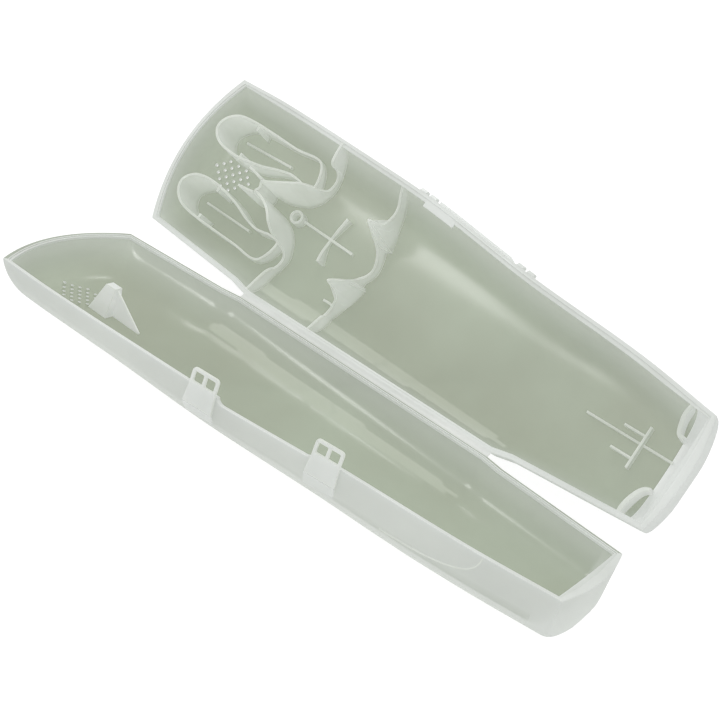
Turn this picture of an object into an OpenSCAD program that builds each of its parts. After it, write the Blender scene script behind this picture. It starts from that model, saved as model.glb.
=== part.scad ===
// Hinged travel case for an electric toothbrush, standing open.
// Two pillow-shaped shells share one thin hinge along X. The head end is at low x.
// Each shell is drawn in its own frame: x along the hinge, y from the hinge line
// to the front rim, z out of the opening, with the rim plane at z = 0.

/* [Shell] */
// Length of the rim between its corners, from the head end to the tail end
shell_len = 233.3; // [210:0.1:260]
// How far the head end bulges past its corners
head_bulge = 7.4; // [2:0.1:12]
// How far the tail end bulges past its corners
tail_bulge = 3; // [1:0.1:8]
// Hinge line to front rim at the head end
head_width = 74.4; // [68:0.1:84]
// Hinge line to front rim in the middle of the case
middle_width = 70; // [66:0.1:80]
// Hinge line to front rim at the grip
grip_width = 63.3; // [58:0.1:74]
// Hinge line to front rim at the tail end
tail_width = 53.4; // [50:0.1:66]
// Depth of a shell at the head end
head_depth = 17.4; // [15:0.1:26]
// Depth of a shell at the grip
grip_depth = 20.5; // [17:0.1:30]
// Depth of a shell at the tail end
tail_depth = 18.7; // [15:0.1:26]
// Thickness of the shell wall
wall = 1.4; // [1:0.1:2.2]
// Length over which the head end curves down from its rim
head_round = 13; // [8:0.5:20]
// Length over which the tail end curves down from its rim
tail_round = 7; // [5:0.5:14]
// Gap that stays between the two rims when the case is closed
rim_gap = 0.2; // [0.1:0.05:0.6]

/* [Hinge] */
// Where the hinge strip starts
web_from = 54.8; // [46:0.1:70]
// Where the hinge strip ends
web_to = 173.8; // [156:0.1:190]
// Thickness of the hinge strip
web_thick = 0.5; // [0.3:0.05:0.8]
// Hinge line to shell wall along the strip
web_reach = 1.1; // [0.8:0.05:2]
// Hinge line to shell wall just past the strip
notch_reach = 2.9; // [2:0.1:5]
// Hinge line to shell wall at the corners of the shells
corner_reach = 6.8; // [4:0.1:9]
// Angle between the two shells as the case stands open
open_angle = 120; // [100:1:140]
// Depth of the narrow flats on the underside that the open case stands on
rest_flat = 0.3; // [0.1:0.05:0.5]

/* [Inner walls] */
// Thickness of the inner walls and ribs
rib = 1.2; // [0.8:0.1:1.6]
// Height of the nose of a brush head cradle above the rim plane
cradle_top = 4; // [0:0.5:6]
// Middle line of a brush head cradle to its straight side
cradle_half = 7.2; // [6:0.05:8]
// Length of a brush head cradle
cradle_len = 46; // [40:0.5:47]
// Distance of the cradles from the front rim and from the hinge edge at the corners
cradle_from_edge = 20.4; // [17:0.1:22]
// How far the middle line of the brush neck lies behind the middle of the head end
neck_back = 0.8; // [0:0.1:3]
// Height of the shoulders of the neck saddle above the rim plane
shoulder_top = 11.5; // [6:0.1:12.5]
// Middle line of the handle in its saddle, from the hinge line
handle_y = 35.8; // [34:0.1:40]
// Height of the prongs of the handle saddle above the rim plane
prong_top = 11.5; // [6:0.5:13]
// Distance of the bar that stops the tail of the handle from the tail corners
stop_from_tail = 19.3; // [15:0.1:27]
// Height of the stop bar above the floor
stop_rise = 4.5; // [2:0.5:7]

/* [Latches] */
// Middle of the latch nearer the head
latch_head_x = 96.5; // [90:0.5:104]
// Middle of the latch nearer the tail
latch_tail_x = 146; // [138:0.5:154]
// Height of a latch loop above the rim of the lid
loop_rise = 6.6; // [5.5:0.1:9]
// Length of the strap that carries the loop, below the rim of the lid
strap_len = 7; // [5:0.5:9]
// Thickness of the loop
loop_thick = 1.2; // [0.9:0.1:1.8]
// Width of each of the two windows in the loop
window_w = 3.7; // [3:0.1:5]
// Height of the windows
window_h = 4; // [3:0.1:4.6]
// Width of the bars around and between the windows
bar_w = 1.2; // [0.8:0.1:1.6]
// Clear space around a catch in its window, and beside the wall
latch_gap = 0.35; // [0.2:0.05:0.6]
// How far a catch stands out past the rim
catch_out = 1.5; // [0.8:0.1:2]
// How far the finger panel stands out from the wall
panel_out = 1; // [0.6:0.1:1.6]
// Height of the finger panel
panel_h = 8.5; // [6:0.5:11]
// Depth of the finger notch in the rim of the lid
notch_depth = 2.1; // [0.5:0.1:2.5]

/* [Vents] */
// Diameter of a vent hole
vent_d = 1.6; // [1:0.1:1.9]
// Distance between the columns and rows of vent holes
vent_pitch = 2.15; // [2:0.05:2.6]
// Middle of the group of vent holes, from the head corners
vent_x = 10.5; // [9:0.5:13]

/* [Hidden] */

plastic = [0.72, 0.75, 0.68];
bright = [0.82, 0.86, 0.80];

// Distances of the rows of surface points from either end of a shell
end_steps = [0, 0.35, 1.2, 2.8, 5.2, 8.5, 13];
end_last = len(end_steps) - 1;
// Length of the step in the edge beside each end of the hinge strip
notch_run = 8;
across_count = 16;
room = 30;
neck_y = (head_width + corner_reach) / 2 - neck_back;
stop_x = shell_len - stop_from_tail;
deep = -34;

stations = concat(end_steps,
  between(end_steps[end_last], web_from - notch_run, 4),
  [web_from - notch_run, web_from - notch_run / 2, web_from],
  between(web_from, web_to, 10),
  [web_to, web_to + notch_run / 2, web_to + notch_run],
  between(web_to + notch_run, shell_len - end_steps[end_last], 3),
  [for (i = [end_last:-1:0]) shell_len - end_steps[i]]);
last_row = len(stations) - 1;

// Shape of a shell along its length, as shares of its length
front_line = [[0, head_width], [0.1, head_width + 0.1], [0.29, head_width - 2.1],
  [0.43, middle_width], [0.643, grip_width], [0.857, (grip_width + tail_width) / 2 + 0.3], [1, tail_width]];
depth_line = [[0, head_depth], [0.21, head_depth + 0.6], [0.38, head_depth + 1.6], [0.6, grip_depth - 0.5],
  [0.73, grip_depth], [0.86, (grip_depth + tail_depth) / 2], [1, tail_depth]];
squareness_line = [[0, 2.2], [0.21, 2.6], [0.38, 3], [0.6, 3.6], [0.73, 4], [1, 4]];
hinge_line = [[0, corner_reach], [web_from - notch_run, notch_reach], [web_from, web_reach],
  [web_to, web_reach], [web_to + notch_run, notch_reach], [shell_len, corner_reach]];
head_power = 2.3;
tail_power = 2.4;

// Width of a loop, and the root that its strap grows from
loop_w = 2 * window_w + 3 * bar_w;
strap_flare = 0.6;
root_w = loop_w + 2 * strap_flare;
root_h = 3.6;
root_gap = 0.1;
root_top = -strap_len - root_gap;
// The root is full at its top, keeps its lip and then slopes down into the wall
root_lip = 0.7;

// The case leans along its length until its round underside bears on both sides of its weight
lean_from = 0.38 * shell_len;
lean_to = 0.6 * shell_len;
half_open = (180 - open_angle) / 2;
lean = atan((low_at(lean_from) - low_at(lean_to)) / (lean_to - lean_from));
outer_points = [for (i = [0:last_row]) for (j = [0:across_count]) stand(shell_point(i, j, 0))];
mid_x = (max([for (p = outer_points) p[0]]) + min([for (p = outer_points) p[0]])) / 2;
floor_z = min([for (p = outer_points) p[2]]) + rest_flat;
// The straps of the latches reach past the lid, so the middle of the whole lies off the hinge line
base_reach = max([for (p = outer_points) p[1]]);
lid_reach = max(concat([base_reach], [for (at = [latch_head_x, latch_tail_x]) for (s = [-1, 1])
  let (t = rim_turn(at), w = s * root_w / 2, out = latch_gap + loop_thick)
  stand([at + w * cos(t) - out * sin(t), front_edge(at) + w * sin(t) + out * cos(t), root_top - root_lip])[1]]));
mid_y = (base_reach - lid_reach) / 2;

function between(a, b, n) = [for (k = [1:n - 1]) a + (b - a) * k / n];

// Smooth curve through the points of a table
function slope(t, i) = let (a = max(i - 1, 0), b = min(i + 1, len(t) - 1))
  (t[b][1] - t[a][1]) / (t[b][0] - t[a][0]);
function smooth(x, t) = let (
    i = max([for (k = [0:len(t) - 2]) t[k][0] <= x ? k : 0]),
    w = t[i + 1][0] - t[i][0],
    q = min(max((x - t[i][0]) / w, 0), 1))
  t[i][1] * (1 + 2 * q) * (1 - q) ^ 2 + t[i + 1][1] * q ^ 2 * (3 - 2 * q)
  + slope(t, i) * w * q * (1 - q) ^ 2 - slope(t, i + 1) * w * q ^ 2 * (1 - q);

function front_edge(x) = smooth(x / shell_len, front_line);
function hinge_edge(x) = lookup(x, hinge_line);
function depth_at(x) = smooth(x / shell_len, depth_line);
function squareness(x) = smooth(x / shell_len, squareness_line);
function round_end(e, run, power) = e >= run ? 1 : (1 - (1 - max(e, 0) / run) ^ power) ^ (1 / power);
function round_side(u, power) = (1 - min(abs(u), 1) ^ power) ^ (1 / power);

// Point of a shell surface. An inset of 0 gives the outside and the wall gives the inside.
function shell_point(i, j, inset) = let (
    along = stations[i],
    u = sin(-90 + 180 * j / across_count),
    low = hinge_edge(along) + inset,
    high = front_edge(along) - inset,
    start = inset - head_bulge * (1 - u * u),
    end = shell_len - inset + tail_bulge * (1 - u * u),
    ends = round_end(along, head_round, head_power) * round_end(shell_len - along, tail_round, tail_power))
  [start + (end - start) * along / shell_len,
   (low + high) / 2 + u * (high - low) / 2,
   -rim_gap / 2 - (depth_at(along) - inset) * round_side(u, squareness(along)) * ends];

// Distance of the outer wall from the hinge line, at a height z below the rim on the front side
function front_wall(x, z) = let (n = squareness(x), low = hinge_edge(x), high = front_edge(x))
  (low + high) / 2 + (high - low) / 2 * (1 - min(abs(z) / depth_at(x), 1) ^ n) ^ (1 / n);

// Lowest place of the tilted underside at a distance along the case
function low_at(x) = min([for (k = [0:90]) let (u = -sin(k))
  ((hinge_edge(x) + front_edge(x)) / 2 + u * (front_edge(x) - hinge_edge(x)) / 2) * sin(half_open)
  - depth_at(x) * round_side(u, squareness(x)) * cos(half_open)]);

// A point of the base, tilted and leaned as it stands
function tilt(p) = [p[0], p[1] * cos(half_open) - p[2] * sin(half_open), p[1] * sin(half_open) + p[2] * cos(half_open)];
function stand(p) = let (q = tilt(p)) [q[0] * cos(lean) - q[2] * sin(lean), q[1], q[0] * sin(lean) + q[2] * cos(lean)];

module stand_up() {
  translate([-mid_x, -mid_y, -floor_z]) rotate([0, -lean, 0]) children();
}
module in_base() {
  stand_up() rotate([half_open, 0, 0]) children();
}
module in_lid() {
  stand_up() mirror([0, 1, 0]) rotate([half_open, 0, 0]) children();
}

// Two triangles for the four corners of a patch, split from a to c or from b to d
function patch(a, b, c, d, turned = false) = turned ? [[a, b, d], [b, c, d]] : [[a, b, c], [a, c, d]];
// The split runs into each corner of the rim, so that no triangle there lies in the rim plane
function turn_patch(i, j) = (i < last_row / 2) != (j < across_count / 2);

// The whole shell: an outer surface, an inner surface and the rim between them
module shell() {
  m = across_count + 1;
  n = last_row + 1;
  outer = [for (i = [0:last_row]) for (j = [0:across_count]) shell_point(i, j, 0)];
  inner = [for (i = [0:last_row]) for (j = [0:across_count]) shell_point(i, j, wall)];
  o = n * m;
  faces = concat(
    [for (i = [0:last_row - 1]) for (j = [0:across_count - 1])
      each patch(i * m + j, (i + 1) * m + j, (i + 1) * m + j + 1, i * m + j + 1, turn_patch(i, j))],
    [for (i = [0:last_row - 1]) for (j = [0:across_count - 1])
      each patch(o + i * m + j, o + i * m + j + 1, o + (i + 1) * m + j + 1, o + (i + 1) * m + j, turn_patch(i, j))],
    [for (i = [0:last_row - 1]) each patch(i * m, o + i * m, o + (i + 1) * m, (i + 1) * m)],
    [for (i = [0:last_row - 1]) let (k = i * m + across_count)
      each patch(k, k + m, o + k + m, o + k)],
    [for (j = [0:across_count - 1]) each patch(j, j + 1, o + j + 1, o + j)],
    [for (j = [0:across_count - 1]) let (k = last_row * m + j)
      each patch(k, o + k, o + k + 1, k + 1)]);
  polyhedron(concat(outer, inner), faces);
}

// The space inside a shell surface from one distance to another, open far above the rim
module bowl(from, to, inset) {
  first = max([for (i = [0:last_row]) row_high(i, inset) <= from ? i : 0]);
  last = min([for (i = [0:last_row]) row_low(i, inset) >= to ? i : last_row]);
  m = across_count + 1;
  rows = last - first;
  bottom = [for (i = [first:last]) for (j = [0:across_count]) shell_point(i, j, inset)];
  top = [for (p = bottom) [p[0], p[1], room]];
  o = (rows + 1) * m;
  faces = concat(
    [for (i = [0:rows - 1]) for (j = [0:across_count - 1])
      each patch(i * m + j, (i + 1) * m + j, (i + 1) * m + j + 1, i * m + j + 1, turn_patch(first + i, j))],
    [for (i = [0:rows - 1]) for (j = [0:across_count - 1])
      [o + i * m + j, o + i * m + j + 1, o + (i + 1) * m + j + 1, o + (i + 1) * m + j]],
    [for (i = [0:rows - 1]) [i * m, o + i * m, o + (i + 1) * m, (i + 1) * m]],
    [for (i = [0:rows - 1]) let (k = i * m + across_count) [k, k + m, o + k + m, o + k]],
    [for (j = [0:across_count - 1]) [j, j + 1, o + j + 1, o + j]],
    [for (j = [0:across_count - 1]) let (k = rows * m + j) [k, o + k, o + k + 1, k + 1]]);
  polyhedron(concat(bottom, top), faces);
}
function row_high(i, inset) = max([for (j = [0:across_count]) shell_point(i, j, inset)[0]]);
function row_low(i, inset) = min([for (j = [0:across_count]) shell_point(i, j, inset)[0]]);

// What stands inside a shell ends on its floor and walls
module inside(from, to) {
  intersection() {
    children();
    bowl(from, to, wall);
  }
}
// What stands outside a shell ends on its outer face
module outside(from, to) {
  difference() {
    children();
    bowl(from, to, 0);
  }
}

// A standing wall along a path of [x, y, height of its top]
function flat(p) = [p[0], p[1]];
function unit(v) = v / norm(v);
function path_side(path, i, closed) = let (
    n = len(path),
    before = closed ? (i + n - 1) % n : max(i - 1, 0),
    after = closed ? (i + 1) % n : min(i + 1, n - 1),
    a = before == i ? unit(flat(path[after]) - flat(path[i])) : unit(flat(path[i]) - flat(path[before])),
    b = after == i ? a : unit(flat(path[after]) - flat(path[i])),
    middle = unit(a + b),
    stretch = 1 / max(middle * a, 0.5))
  [-middle[1], middle[0]] * stretch;
module standing_wall(path, thick, closed = false) {
  n = len(path);
  points = [for (i = [0:n - 1]) let (s = path_side(path, i, closed) * thick / 2, p = path[i])
    each [[p[0] + s[0], p[1] + s[1], deep], [p[0] - s[0], p[1] - s[1], deep],
          [p[0] - s[0], p[1] - s[1], p[2]], [p[0] + s[0], p[1] + s[1], p[2]]]];
  count = closed ? n : n - 1;
  sides = [for (i = [0:count - 1]) let (a = i * 4, b = ((i + 1) % n) * 4)
    for (k = [0:3]) each patch(a + k, a + (k + 1) % 4, b + (k + 1) % 4, b + k)];
  caps = closed ? [] : [[3, 2, 1, 0], [n * 4 - 4, n * 4 - 3, n * 4 - 2, n * 4 - 1]];
  polyhedron(points, concat(sides, caps));
}

// A vent group: every second place of a square grid, inside a rounded field
vent_columns = 4;
vent_rows = 3;
module vents() {
  for (i = [-vent_columns:vent_columns])
    for (j = [-vent_rows:vent_rows])
      if ((i + j) % 2 == 0 && abs(i) / vent_columns + abs(j) / vent_rows < 1.4)
        translate([vent_x + i * vent_pitch, neck_y + 0.6 + j * vent_pitch, deep])
          cylinder(d = vent_d, h = -deep, $fn = 16);
}

// Everything above the surface that the case stands on
module above_floor() {
  intersection() {
    children();
    translate([-shell_len, -shell_len, 0]) cube(2 * shell_len);
  }
}

module base_shell() {
  color(plastic) above_floor() in_base() difference() {
    shell();
    vents();
  }
}

module hinge_leaf() {
  translate([web_from, rim_gap / 4, -rim_gap / 2 - web_thick])
    cube([web_to - web_from, web_reach - rim_gap / 4, web_thick]);
}
module hinge_leaf_base() {
  color(bright) in_base() hinge_leaf();
}

// A brush head cradle: a boat-shaped wall that is high at its nose and falls to its tail
nose_x = 3.6;
cradle_nose = 0.14;
cradle_tail_top = -9;
cradle_fall = 0.52;
// Outline as shares of the length and of the half width, with the straight side first
cradle_outline = [[0.92, 1], [0.65, 1], [0.43, 1.01], [0.26, 0.98], [0.152, 0.83], [0.07, 0.5], [0.026, 0.11],
  [0.017, -0.31], [0.048, -0.67], [0.109, -0.97], [0.196, -1.15], [0.304, -1.17], [0.391, -1.06], [0.5, -0.88],
  [0.609, -0.58], [0.73, -0.4], [0.826, -0.47], [0.891, -0.54], [1, -0.36]];
front_cradle_at = [nose_x, head_width - cradle_from_edge, 1.2];
rear_cradle_at = [nose_x, corner_reach + cradle_from_edge - 3, -2.1];
// The wall is high around the nose and falls along the sides
function cradle_height(share) = let (q = min(max((share - cradle_nose) / cradle_fall, 0), 1))
  cradle_top - (cradle_top - cradle_tail_top) * q + 2 * q * (1 - q);
function cradle_path() = [for (p = cradle_outline) [p[0] * cradle_len, p[1] * cradle_half, cradle_height(p[0])]];
nib_share = 0.27;
nib = 1.8;
module cradle_wall() {
  standing_wall(cradle_path(), rib, closed = true);
  // A nib on each side keeps the brush head from sliding
  for (y = [cradle_half - rib / 2 - nib, rib / 2 - 1.16 * cradle_half])
    translate([nib_share * cradle_len, y, deep])
      cube([2.4, nib, cradle_height(nib_share) - 3 - deep]);
}
module place_cradle(at, side) {
  translate([at[0], at[1], 0]) rotate(at[2]) mirror([0, side, 0]) children();
}
module beside_head(at, side) {
  color(bright) in_base() inside(nose_x - rib, nose_x + 1.2 * cradle_len) place_cradle(at, side) children();
}
module brush_cradle_front() {
  beside_head(front_cradle_at, 0) cradle_wall();
}
module brush_cradle_rear() {
  beside_head(rear_cradle_at, 1) cradle_wall();
}

// A low rib along the middle of each cradle
cradle_rib_rise = 2.4;
module cradle_rib() {
  middle = cradle_len / 2;
  long = 0.54 * cradle_len;
  translate([middle - long / 2, -rib, deep])
    cube([long, rib, cradle_rib_rise - depth_at(middle) + wall - deep]);
}
module cradle_rib_front() {
  beside_head(front_cradle_at, 0) cradle_rib();
}
module cradle_rib_rear() {
  beside_head(rear_cradle_at, 1) cradle_rib();
}

// The neck saddle: one wall from the front wall over a dip for the neck to the hinge side
saddle_x = 34.6;
saddle_len = 21;
saddle_span = 0.37 * (front_edge(saddle_x) - hinge_edge(saddle_x));
saddle_low = -11;
// Rows are shares: along the case, away from the neck, and from the lowest to the highest top
front_arm = [[0, 0, 0.53], [0, 0.088, 0.6], [0.186, 0.092, 0.8], [0.381, 0.115, 0.93], [0.667, 0.2, 1],
  [0.771, 0.265, 0.93], [0.862, 0.346, 0.8], [0.919, 0.431, 0.49], [0.938, 0.477, 0.22], [0.976, 0.546, 0.04],
  [1, 0.665, 0], [1, 0.785, 0.04], [0.99, 0.865, 0.22], [0.981, 0.9, 0.51]];
rear_arm = [[0, 0.085, 0.6], [0.186, 0.112, 0.78], [0.381, 0.15, 0.9], [0.59, 0.223, 0.98], [0.733, 0.315, 1],
  [0.829, 0.415, 0.97], [0.89, 0.508, 0.78], [0.919, 0.562, 0.5], [0.938, 0.596, 0.24], [0.957, 0.638, 0.09],
  [0.971, 0.735, 0.02], [0.948, 0.877, 0.04], [0.914, 1.03, 0.22]];
function neck_point(row, side) = [saddle_x + row[0] * saddle_len, neck_y + side * row[1] * saddle_span,
  saddle_low + row[2] * (shoulder_top - saddle_low)];
module neck_saddle() {
  end_x = saddle_x + 0.93 * saddle_len;
  end_top = saddle_low / 2 + shoulder_top / 2;
  path = concat([[end_x, hinge_edge(end_x), end_top]],
    [for (i = [len(rear_arm) - 1:-1:0]) neck_point(rear_arm[i], -1)],
    [for (row = front_arm) neck_point(row, 1)],
    [[end_x, front_edge(end_x), end_top]]);
  color(bright) in_base() inside(saddle_x - 2 * rib, saddle_x + 1.25 * saddle_len) standing_wall(path, rib);
}

// Two fingers that snap over the neck, in front of the dip
finger_len = 5;
finger_top = 6;
finger_foot = 2;
module neck_finger(side) {
  y = neck_y + side * 4.1;
  path = [[saddle_x - finger_len, y, finger_top + 1], [saddle_x - finger_len + 1.6, y - side * 0.2, finger_top],
    [saddle_x - rib / 2 - 0.02, y - side * rib, finger_foot]];
  color(bright) in_base() inside(saddle_x - 2 * finger_len, saddle_x + rib) standing_wall(path, rib);
}
module neck_finger_front() {
  neck_finger(1);
}
module neck_finger_rear() {
  neck_finger(-1);
}

// A ring on the floor behind the neck saddle
ring_x = saddle_x + 15.2;
ring_d = 6;
ring_rise = 5;
module locating_ring() {
  top = ring_rise - depth_at(ring_x) + wall;
  color(bright) in_base() inside(ring_x - 8, ring_x + 8)
    translate([ring_x, neck_y, deep])
      difference() {
        cylinder(d = ring_d, h = top - deep, $fn = 48);
        cylinder(d = ring_d - 2 * rib, h = top - deep + 1, $fn = 48);
      }
}

// A long rib with a waisted cross rib
cross_x = ring_x + 16.4;
cross_rise = 3;
module floor_cross() {
  top = cross_rise - depth_at(cross_x) + wall;
  waist = [[-1.4, -10.3], [2.4, -11.6], [0.9, -6], [0.6, 0], [0.9, 5.4], [2.2, 9.8], [-1.6, 9], [-0.9, 5], [-0.6, 0], [-0.9, -5]];
  color(bright) in_base() inside(ring_x, cross_x + 16)
    translate([0, neck_y - 1.2, deep]) {
      linear_extrude(height = top - deep) translate([cross_x, 0]) polygon(waist);
      translate([ring_x + ring_d / 2 + 0.1, 0.2, 0]) rotate(-2)
        cube([cross_x + 10.4 - ring_x - ring_d / 2, rib * 0.8, top - 1 - deep]);
    }
}

// The handle saddle: a wall with two tall prongs and a low dip for the handle
handle_x = 90;
handle_bow = 5;
handle_span = 0.433 * (front_edge(handle_x) - hinge_edge(handle_x));
handle_dip = -12;
// Rows are shares: against the bow of the wall, along it from the handle, and from dip to prong top
handle_line = [[-0.84, -0.873, 0.32], [-0.9, -0.8, 0.19], [-0.72, -0.683, 0.234], [-0.56, -0.56, 0.36], [-0.48, -0.5, 0.6],
  [-0.46, -0.463, 1], [-0.28, -0.35, 0.7], [-0.34, -0.27, 0.38], [-0.44, -0.177, 0.085], [-0.14, -0.07, 0],
  [0, 0.047, 0.02], [-0.18, 0.197, 0.106], [-0.36, 0.287, 0.277], [-0.48, 0.363, 0.6], [-0.42, 0.443, 1],
  [-0.34, 0.523, 0.553], [-0.44, 0.69, 0.32], [-0.58, 0.847, 0.277], [-0.78, 1.01, 0.404]];
module handle_saddle() {
  end_x = handle_x - 0.9 * handle_bow;
  end_top = handle_dip / 2 + prong_top / 2;
  path = concat([[end_x, hinge_edge(end_x), end_top]],
    [for (row = handle_line) [handle_x + row[0] * handle_bow, handle_y + row[1] * handle_span,
      handle_dip + row[2] * (prong_top - handle_dip)]],
    [[end_x, front_edge(end_x), end_top]]);
  color(bright) in_base() inside(handle_x - 2.5 * handle_bow, handle_x + 1.6 * handle_bow) standing_wall(path, rib);
}

// A short floor rib that props the hinge side of the handle saddle
gusset_len = 5;
module saddle_gusset() {
  x = handle_x - 0.7 * handle_bow;
  y = handle_y - 0.66 * handle_span;
  low = 1.2 * handle_dip;
  path = [[x - 1.7 * gusset_len, y + rib / 2, low], [x - gusset_len, y + rib / 2, low + rib], [x - rib / 2 - 0.1, y, low / 2 - rib]];
  color(bright) in_base() inside(x - 2.4 * gusset_len, x + 1.6 * gusset_len) standing_wall(path, rib * 0.8);
}

// The stop bar behind the tail of the handle, with its two side ribs
stop_y = 31.6;
stop_half = 8.5;
side_rib_len = 9;
module end_stop() {
  top = stop_rise - depth_at(stop_x) + wall;
  color(bright) in_base() inside(stop_x - 2 * side_rib_len, stop_x + side_rib_len)
    translate([stop_x, stop_y, deep]) {
      translate([-rib / 2, -stop_half, 0]) cube([rib, 2 * stop_half, top - deep]);
      for (y = [-4.7, 4.6])
        translate([-side_rib_len, y - rib / 2, 0]) cube([side_rib_len, rib, top - 1 - deep]);
    }
}
centre_rib_rise = 1;
rib_before = 23;
rib_behind = 12;
module stop_centre_rib() {
  top = centre_rib_rise - depth_at(stop_x) + wall;
  color(bright) in_base() inside(stop_x - 1.3 * rib_before, shell_len + 2 * tail_bulge)
    translate([stop_x, stop_y + 1.6, deep]) {
      translate([rib / 2, -rib / 2, 0]) cube([rib_behind, rib, top + 0.8 - deep]);
      translate([-rib / 2 - rib_before, -rib / 2, 0]) cube([rib_before, rib, top - deep]);
    }
}

// Curved walls across the two tail corners
pocket_from_tail = 10.7;
pocket_x = shell_len - pocket_from_tail;
module tail_pocket(path) {
  color(bright) in_base() inside(pocket_x - pocket_from_tail, shell_len + 2 * tail_bulge) standing_wall(path, rib);
}
module tail_pocket_front() {
  y = front_edge(pocket_x);
  tail_pocket([[pocket_x + 1, y, -4], [pocket_x - 1, y - 5, -6], [pocket_x - 1.2, y - 9, -8],
    [pocket_x, y - 12.6, -9.5], [pocket_x + 3.5, y - 12.8, -10]]);
}
module tail_pocket_rear() {
  y = hinge_edge(pocket_x);
  tail_pocket([[pocket_x - 1.4, y - 1, -4], [pocket_x - 2.8, y + 5, -6], [pocket_x - 2.3, y + 10.5, -8],
    [pocket_x + 0.4, y + 14.6, -9.5], [pocket_x + 3, y + 15, -10]]);
}

// Shape that follows the front outer wall, between two distances and two heights
wall_slices = 8;
wall_levels = 5;
module wall_strip(from, to, high, low, out) {
  ring = 2 * wall_levels;
  points = [for (i = [0:wall_slices]) let (x = from + (to - from) * i / wall_slices)
    each concat(
      [for (k = [0:wall_levels - 1]) let (z = high + (low - high) * k / (wall_levels - 1)) [x, front_wall(x, z) - 1, z]],
      [for (k = [wall_levels - 1:-1:0]) let (z = high + (low - high) * k / (wall_levels - 1)) [x, front_wall(x, z) + out, z]])];
  sides = [for (i = [0:wall_slices - 1]) for (k = [0:ring - 1]) let (a = i * ring, b = a + ring, q = (k + 1) % ring)
    each patch(a + k, b + k, b + q, a + q)];
  caps = [[for (k = [0:ring - 1]) k], [for (k = [ring - 1:-1:0]) wall_slices * ring + k]];
  outside(from - 4, to + 4) polyhedron(points, concat(sides, caps));
}

panel_from = latch_head_x + loop_w / 2 + 1.4;
panel_to = latch_tail_x - loop_w / 2 - 1.4;
module finger_panel() {
  color(bright) in_base() wall_strip(panel_from, panel_to, -rim_gap / 2 - 0.3, -panel_h, panel_out);
}

// Slope of the front rim, so that a latch lies square to it
function rim_turn(x) = atan((front_edge(x + 4) - front_edge(x - 4)) / 8);
window_low = loop_rise - bar_w - window_h;

// A catch: two ramped bumps that fill the windows of a loop when the case is shut
module catch_bumps(at) {
  y = front_edge(at);
  high = -window_low - latch_gap;
  low = -window_low - window_h + latch_gap;
  outside(at - 14, at + 14)
    translate([at, y, 0]) rotate(rim_turn(at))
      for (s = [-1, 1])
        translate([s * (window_w + bar_w) / 2, 0, 0]) rotate([90, 0, -90])
          linear_extrude(height = window_w - 2 * latch_gap, center = true)
            polygon([[5, high], [-catch_out * 0.3, high], [-catch_out, high - 0.9], [-catch_out, low + 0.2],
              [-catch_out * 0.6, low], [5, low]]);
}
module catch_head() {
  color(bright) in_base() catch_bumps(latch_head_x);
}
module catch_tail() {
  color(bright) in_base() catch_bumps(latch_tail_x);
}

// The lid: the same shell with a notch for a finger between the latches, rounded at both ends
notch_from = latch_head_x + loop_w / 2;
notch_to = latch_tail_x - loop_w / 2;
notch_round = 3;
notch_line = concat([[notch_from, 1]],
  [for (a = [0:30:90]) [notch_from + notch_round * (1 - cos(a)), -notch_depth * sin(a)]],
  [for (a = [90:-30:0]) [notch_to - notch_round * (1 - cos(a)), -notch_depth * sin(a)]],
  [[notch_to, 1]]);
module lid_shell() {
  color(plastic) above_floor() in_lid()
    difference() {
      shell();
      vents();
      translate([0, front_edge(latch_tail_x) - 4, 0]) rotate([90, 0, 0])
        mirror([0, 0, 1]) linear_extrude(height = 12)
          polygon(notch_line);
    }
}
module hinge_leaf_lid() {
  color(bright) in_lid() hinge_leaf();
}

// The hold-down: a hollow-looking pillar of thin plates that bears on the brush neck
hold_x = 22;
hold_top = -5;
module tapered_plate(top_pts, low_pts, z_top) {
  n = len(top_pts);
  points = concat([for (p = low_pts) [p[0], p[1], deep / 2]], [for (p = top_pts) [p[0], p[1], z_top]]);
  polyhedron(points, concat(
    [[for (k = [0:n - 1]) k]],
    [[for (k = [n - 1:-1:0]) n + k]],
    [for (k = [0:n - 1]) let (q = (k + 1) % n) each patch(k, n + k, n + q, q)]));
}
module neck_hold_down() {
  color(bright) in_lid() inside(hold_x - 10, hold_x + 30)
    translate([hold_x, neck_y, 0]) {
      tapered_plate([[0, -2], [2.4, -2], [2.4, 2], [0, 2]], [[-3.3, -4.2], [4.8, -4], [4.8, 4], [-3.3, 4.2]], hold_top);
      tapered_plate([[2, -0.6], [2.6, -0.6], [2.6, 0.6], [2, 0.6]], [[2, -1.6], [22, -0.6], [22, 0.6], [2, 1.6]], hold_top - 0.1);
      for (s = [-1, 1])
        tapered_plate([[2, s * 1.4 - 0.5], [2.6, s * 1.4 - 0.5], [2.6, s * 1.4 + 0.5], [2, s * 1.4 + 0.5]],
          [[2, s * 3 - 0.6], [10.4, s * 5.6 - 0.6], [10.4, s * 5.6 + 0.6], [2, s * 3 + 0.6]], hold_top - 0.3);
    }
}

// A latch loop: a strap up the outer wall of the lid that ends in two windows past the rim
module place_latch(at) {
  translate([at, front_edge(at), 0]) rotate(rim_turn(at)) children();
}
loop_corner = 1.6;
module latch_loop(at) {
  w = loop_w / 2;
  in_lid() place_latch(at)
    translate([0, latch_gap + loop_thick, 0]) rotate([90, 0, 0])
      linear_extrude(height = loop_thick)
        difference() {
          polygon([[-w - strap_flare, -strap_len], [w + strap_flare, -strap_len], [w, 0], [w, loop_rise - loop_corner],
            [w - loop_corner * 0.3, loop_rise - loop_corner * 0.3], [w - loop_corner, loop_rise],
            [-w + loop_corner, loop_rise], [-w + loop_corner * 0.3, loop_rise - loop_corner * 0.3],
            [-w, loop_rise - loop_corner], [-w, 0]]);
          for (s = [-1, 1])
            translate([s * (window_w + bar_w) / 2 - window_w / 2, window_low]) square([window_w, window_h]);
        }
}
module latch_loop_head() {
  color(bright) latch_loop(latch_head_x);
}
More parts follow.
